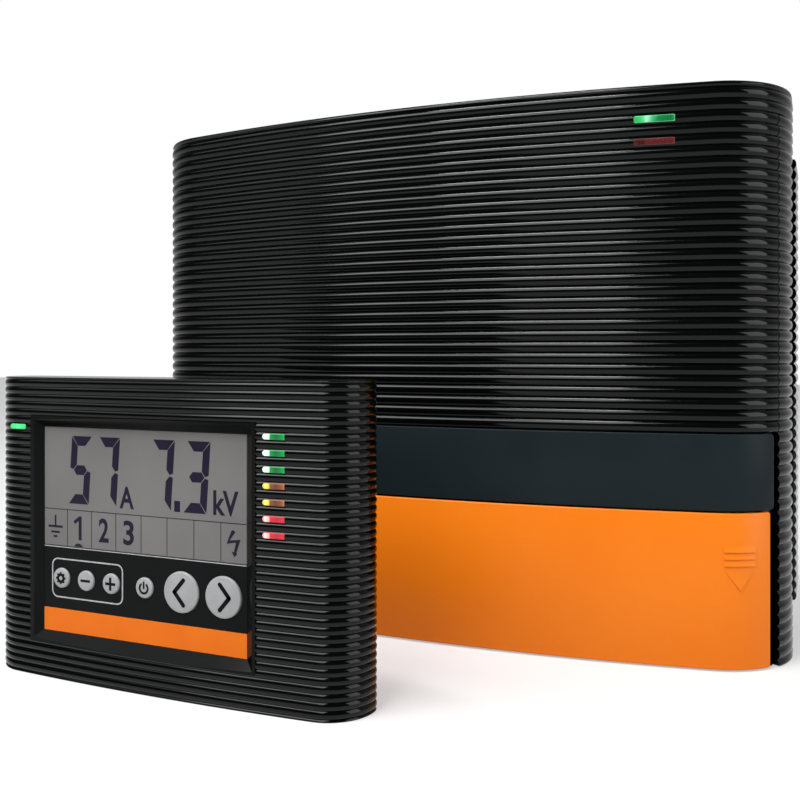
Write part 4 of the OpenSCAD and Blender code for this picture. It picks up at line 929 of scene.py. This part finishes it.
# A row's first cap is modelled, and the others are copies of it.
ROWS = {"settings": (SMALL_KEYS, SMALL_R), "left": (LARGE_KEYS, LARGE_R)}
caps = {first: key_cap(first + "_cap", row[first], r) for first, (row, r) in ROWS.items()}
for first, (row, _) in ROWS.items():
    for key, x in row.items():
        if key != first:
            caps[key] = twin(caps[first], key + "_cap", (x - row[first], 0, 0))
for key, x in {**SMALL_KEYS, **LARGE_KEYS}.items():
    moved = [[(x + px, KEY_Z + pz) for px, pz in shape] for shape in icons[key]]
    mark = inlay(key + "_mark", moved, KEY_FRONT - PRINT, PRINT)
    if key == "settings":
        hole = arc(x, KEY_Z, GEAR_HOLE, 0, 337.5, 15)
        cut(mark, inlay("gear_hole", [hole], KEY_FRONT - CLEAR, 2 * CLEAR))
    for piece in (caps[key], mark):
        place(piece, PAD_AT)
    settle(caps[key], key + "_button", "grey_keys", key_grey, key + "_button")
    settle(mark, key + "_button", "black_film", key_ink)


# Stage, light and camera

# Soft boxes: azimuth off the front and elevation in degrees, distance, width and height in metres, and
# brightness, where 1 is white.
AIM = Vector((0, 0, 0.12))
SOFT_BOXES = {
    "front_soft_box": (-19, 49, 1.3, 0.98, 0.6, 6.9),
    "left_soft_box": (-50, 42, 1.4, 0.8, 0.6, 1.6),
    "side_soft_box": (80, 18, 1.2, 0.6, 1.0, 3.0),
    "high_strip": (-22, 72, 1.2, 0.5, 0.1, 46.0),
}
for name, (azimuth, elevation, distance, width, height, brightness) in SOFT_BOXES.items():
    a, e = math.radians(azimuth), math.radians(elevation)
    away = Vector((math.sin(a) * math.cos(e), -math.cos(a) * math.cos(e), math.sin(e)))
    data = bpy.data.lights.new(name, "AREA")
    data.shape = "RECTANGLE"
    data.size, data.size_y = width, height
    data.energy = brightness * math.pi * width * height
    made = bpy.data.objects.new(name, data)
    bpy.context.scene.collection.objects.link(made)
    made.location = AIM + away * distance
    made.rotation_euler = away.to_track_quat("Z", "Y").to_euler()

# The camera stands where the photograph's did: place in metres, turn in degrees, lens in mm.
CAMERA_AT, CAMERA_TURN = (0.1718, -0.4064, 0.1317), 23.74
CAMERA_LENS, CAMERA_SHIFT = 43.2, -0.058
camera = bpy.data.objects.new("camera", bpy.data.cameras.new("camera"))
bpy.context.scene.collection.objects.link(camera)
camera.location = CAMERA_AT
camera.rotation_euler = (math.radians(90), 0, math.radians(CAMERA_TURN))
camera.data.sensor_width = 36
camera.data.lens = CAMERA_LENS
camera.data.shift_y = CAMERA_SHIFT
camera.data.clip_start = 0.01
bpy.context.scene.camera = camera


def sight(tree):
    """Three light-path values: 1 for rays straight from the camera, 1 for rays off or through glossy
    things, and 1 for either."""
    rays = add(tree, "LightPath").outputs
    mirrored = add(tree, "Math", {0: rays["Is Glossy Ray"], 1: rays["Is Transmission Ray"]},
                   operation="MAXIMUM").outputs["Value"]
    straight = rays["Is Camera Ray"]
    either = add(tree, "Math", {0: straight, 1: mirrored}, operation="MAXIMUM").outputs["Value"]
    return straight, mirrored, either


# The floor is lifted a little to white for the camera and for reflections; it keeps the shadows.
FLOOR_SIZE, FLOOR_LIFT = 8, 0.42
bpy.ops.mesh.primitive_plane_add(size=FLOOR_SIZE, location=(0, 0, 0))
floor = bpy.context.object
floor.name = "floor"
floor_white = surface("painted_floor_white", ("#b4b4b4", "#bababa"), 300, (0.8, 0.9), 4, 0.01)
floor.data.materials.append(floor_white)
ground = floor_white.node_tree
_, _, either = sight(ground)
lift = add(ground, "Math", {0: either, 1: FLOOR_LIFT}, operation="MULTIPLY")
painted = ground.nodes["Principled BSDF"]
painted.inputs["Emission Color"].default_value = linear("#ffffff")
ground.links.new(lift.outputs["Value"], painted.inputs["Emission Strength"])

# The world is white to the camera, goes from dark in front to pale behind in reflections, and lights softly.
FILL = 0.28
MIRROR_FROM, MIRROR_TO = (-0.1, 0.8), (0.05, 0.6)
world = bpy.data.worlds.new("studio")
bpy.context.scene.world = world
world.use_nodes = True
sky = world.node_tree
straight, mirrored, either = sight(sky)
heading = add(sky, "SeparateXYZ", {"Vector": add(sky, "TexCoord").outputs["Generated"]})
behind = add(sky, "MapRange", {"Value": heading.outputs["Y"],
                               "From Min": MIRROR_FROM[0], "From Max": MIRROR_FROM[1],
                               "To Min": MIRROR_TO[0], "To Max": MIRROR_TO[1]})
shown = add(sky, "Math", {0: mirrored, 1: behind.outputs["Result"]}, operation="MULTIPLY")
seen = add(sky, "Math", {0: straight, 1: shown.outputs["Value"]}, operation="MAXIMUM")
soft = add(sky, "MapRange", {"Value": either, "To Min": FILL, "To Max": 0.0})
strength = add(sky, "Math", {0: seen.outputs["Value"], 1: soft.outputs["Result"]}, operation="ADD")
sky.links.new(strength.outputs["Value"], sky.nodes["Background"].inputs["Strength"])
sky.nodes["Background"].inputs["Color"].default_value = linear("#ffffff")
bpy.context.scene.view_settings.view_transform = "Standard"
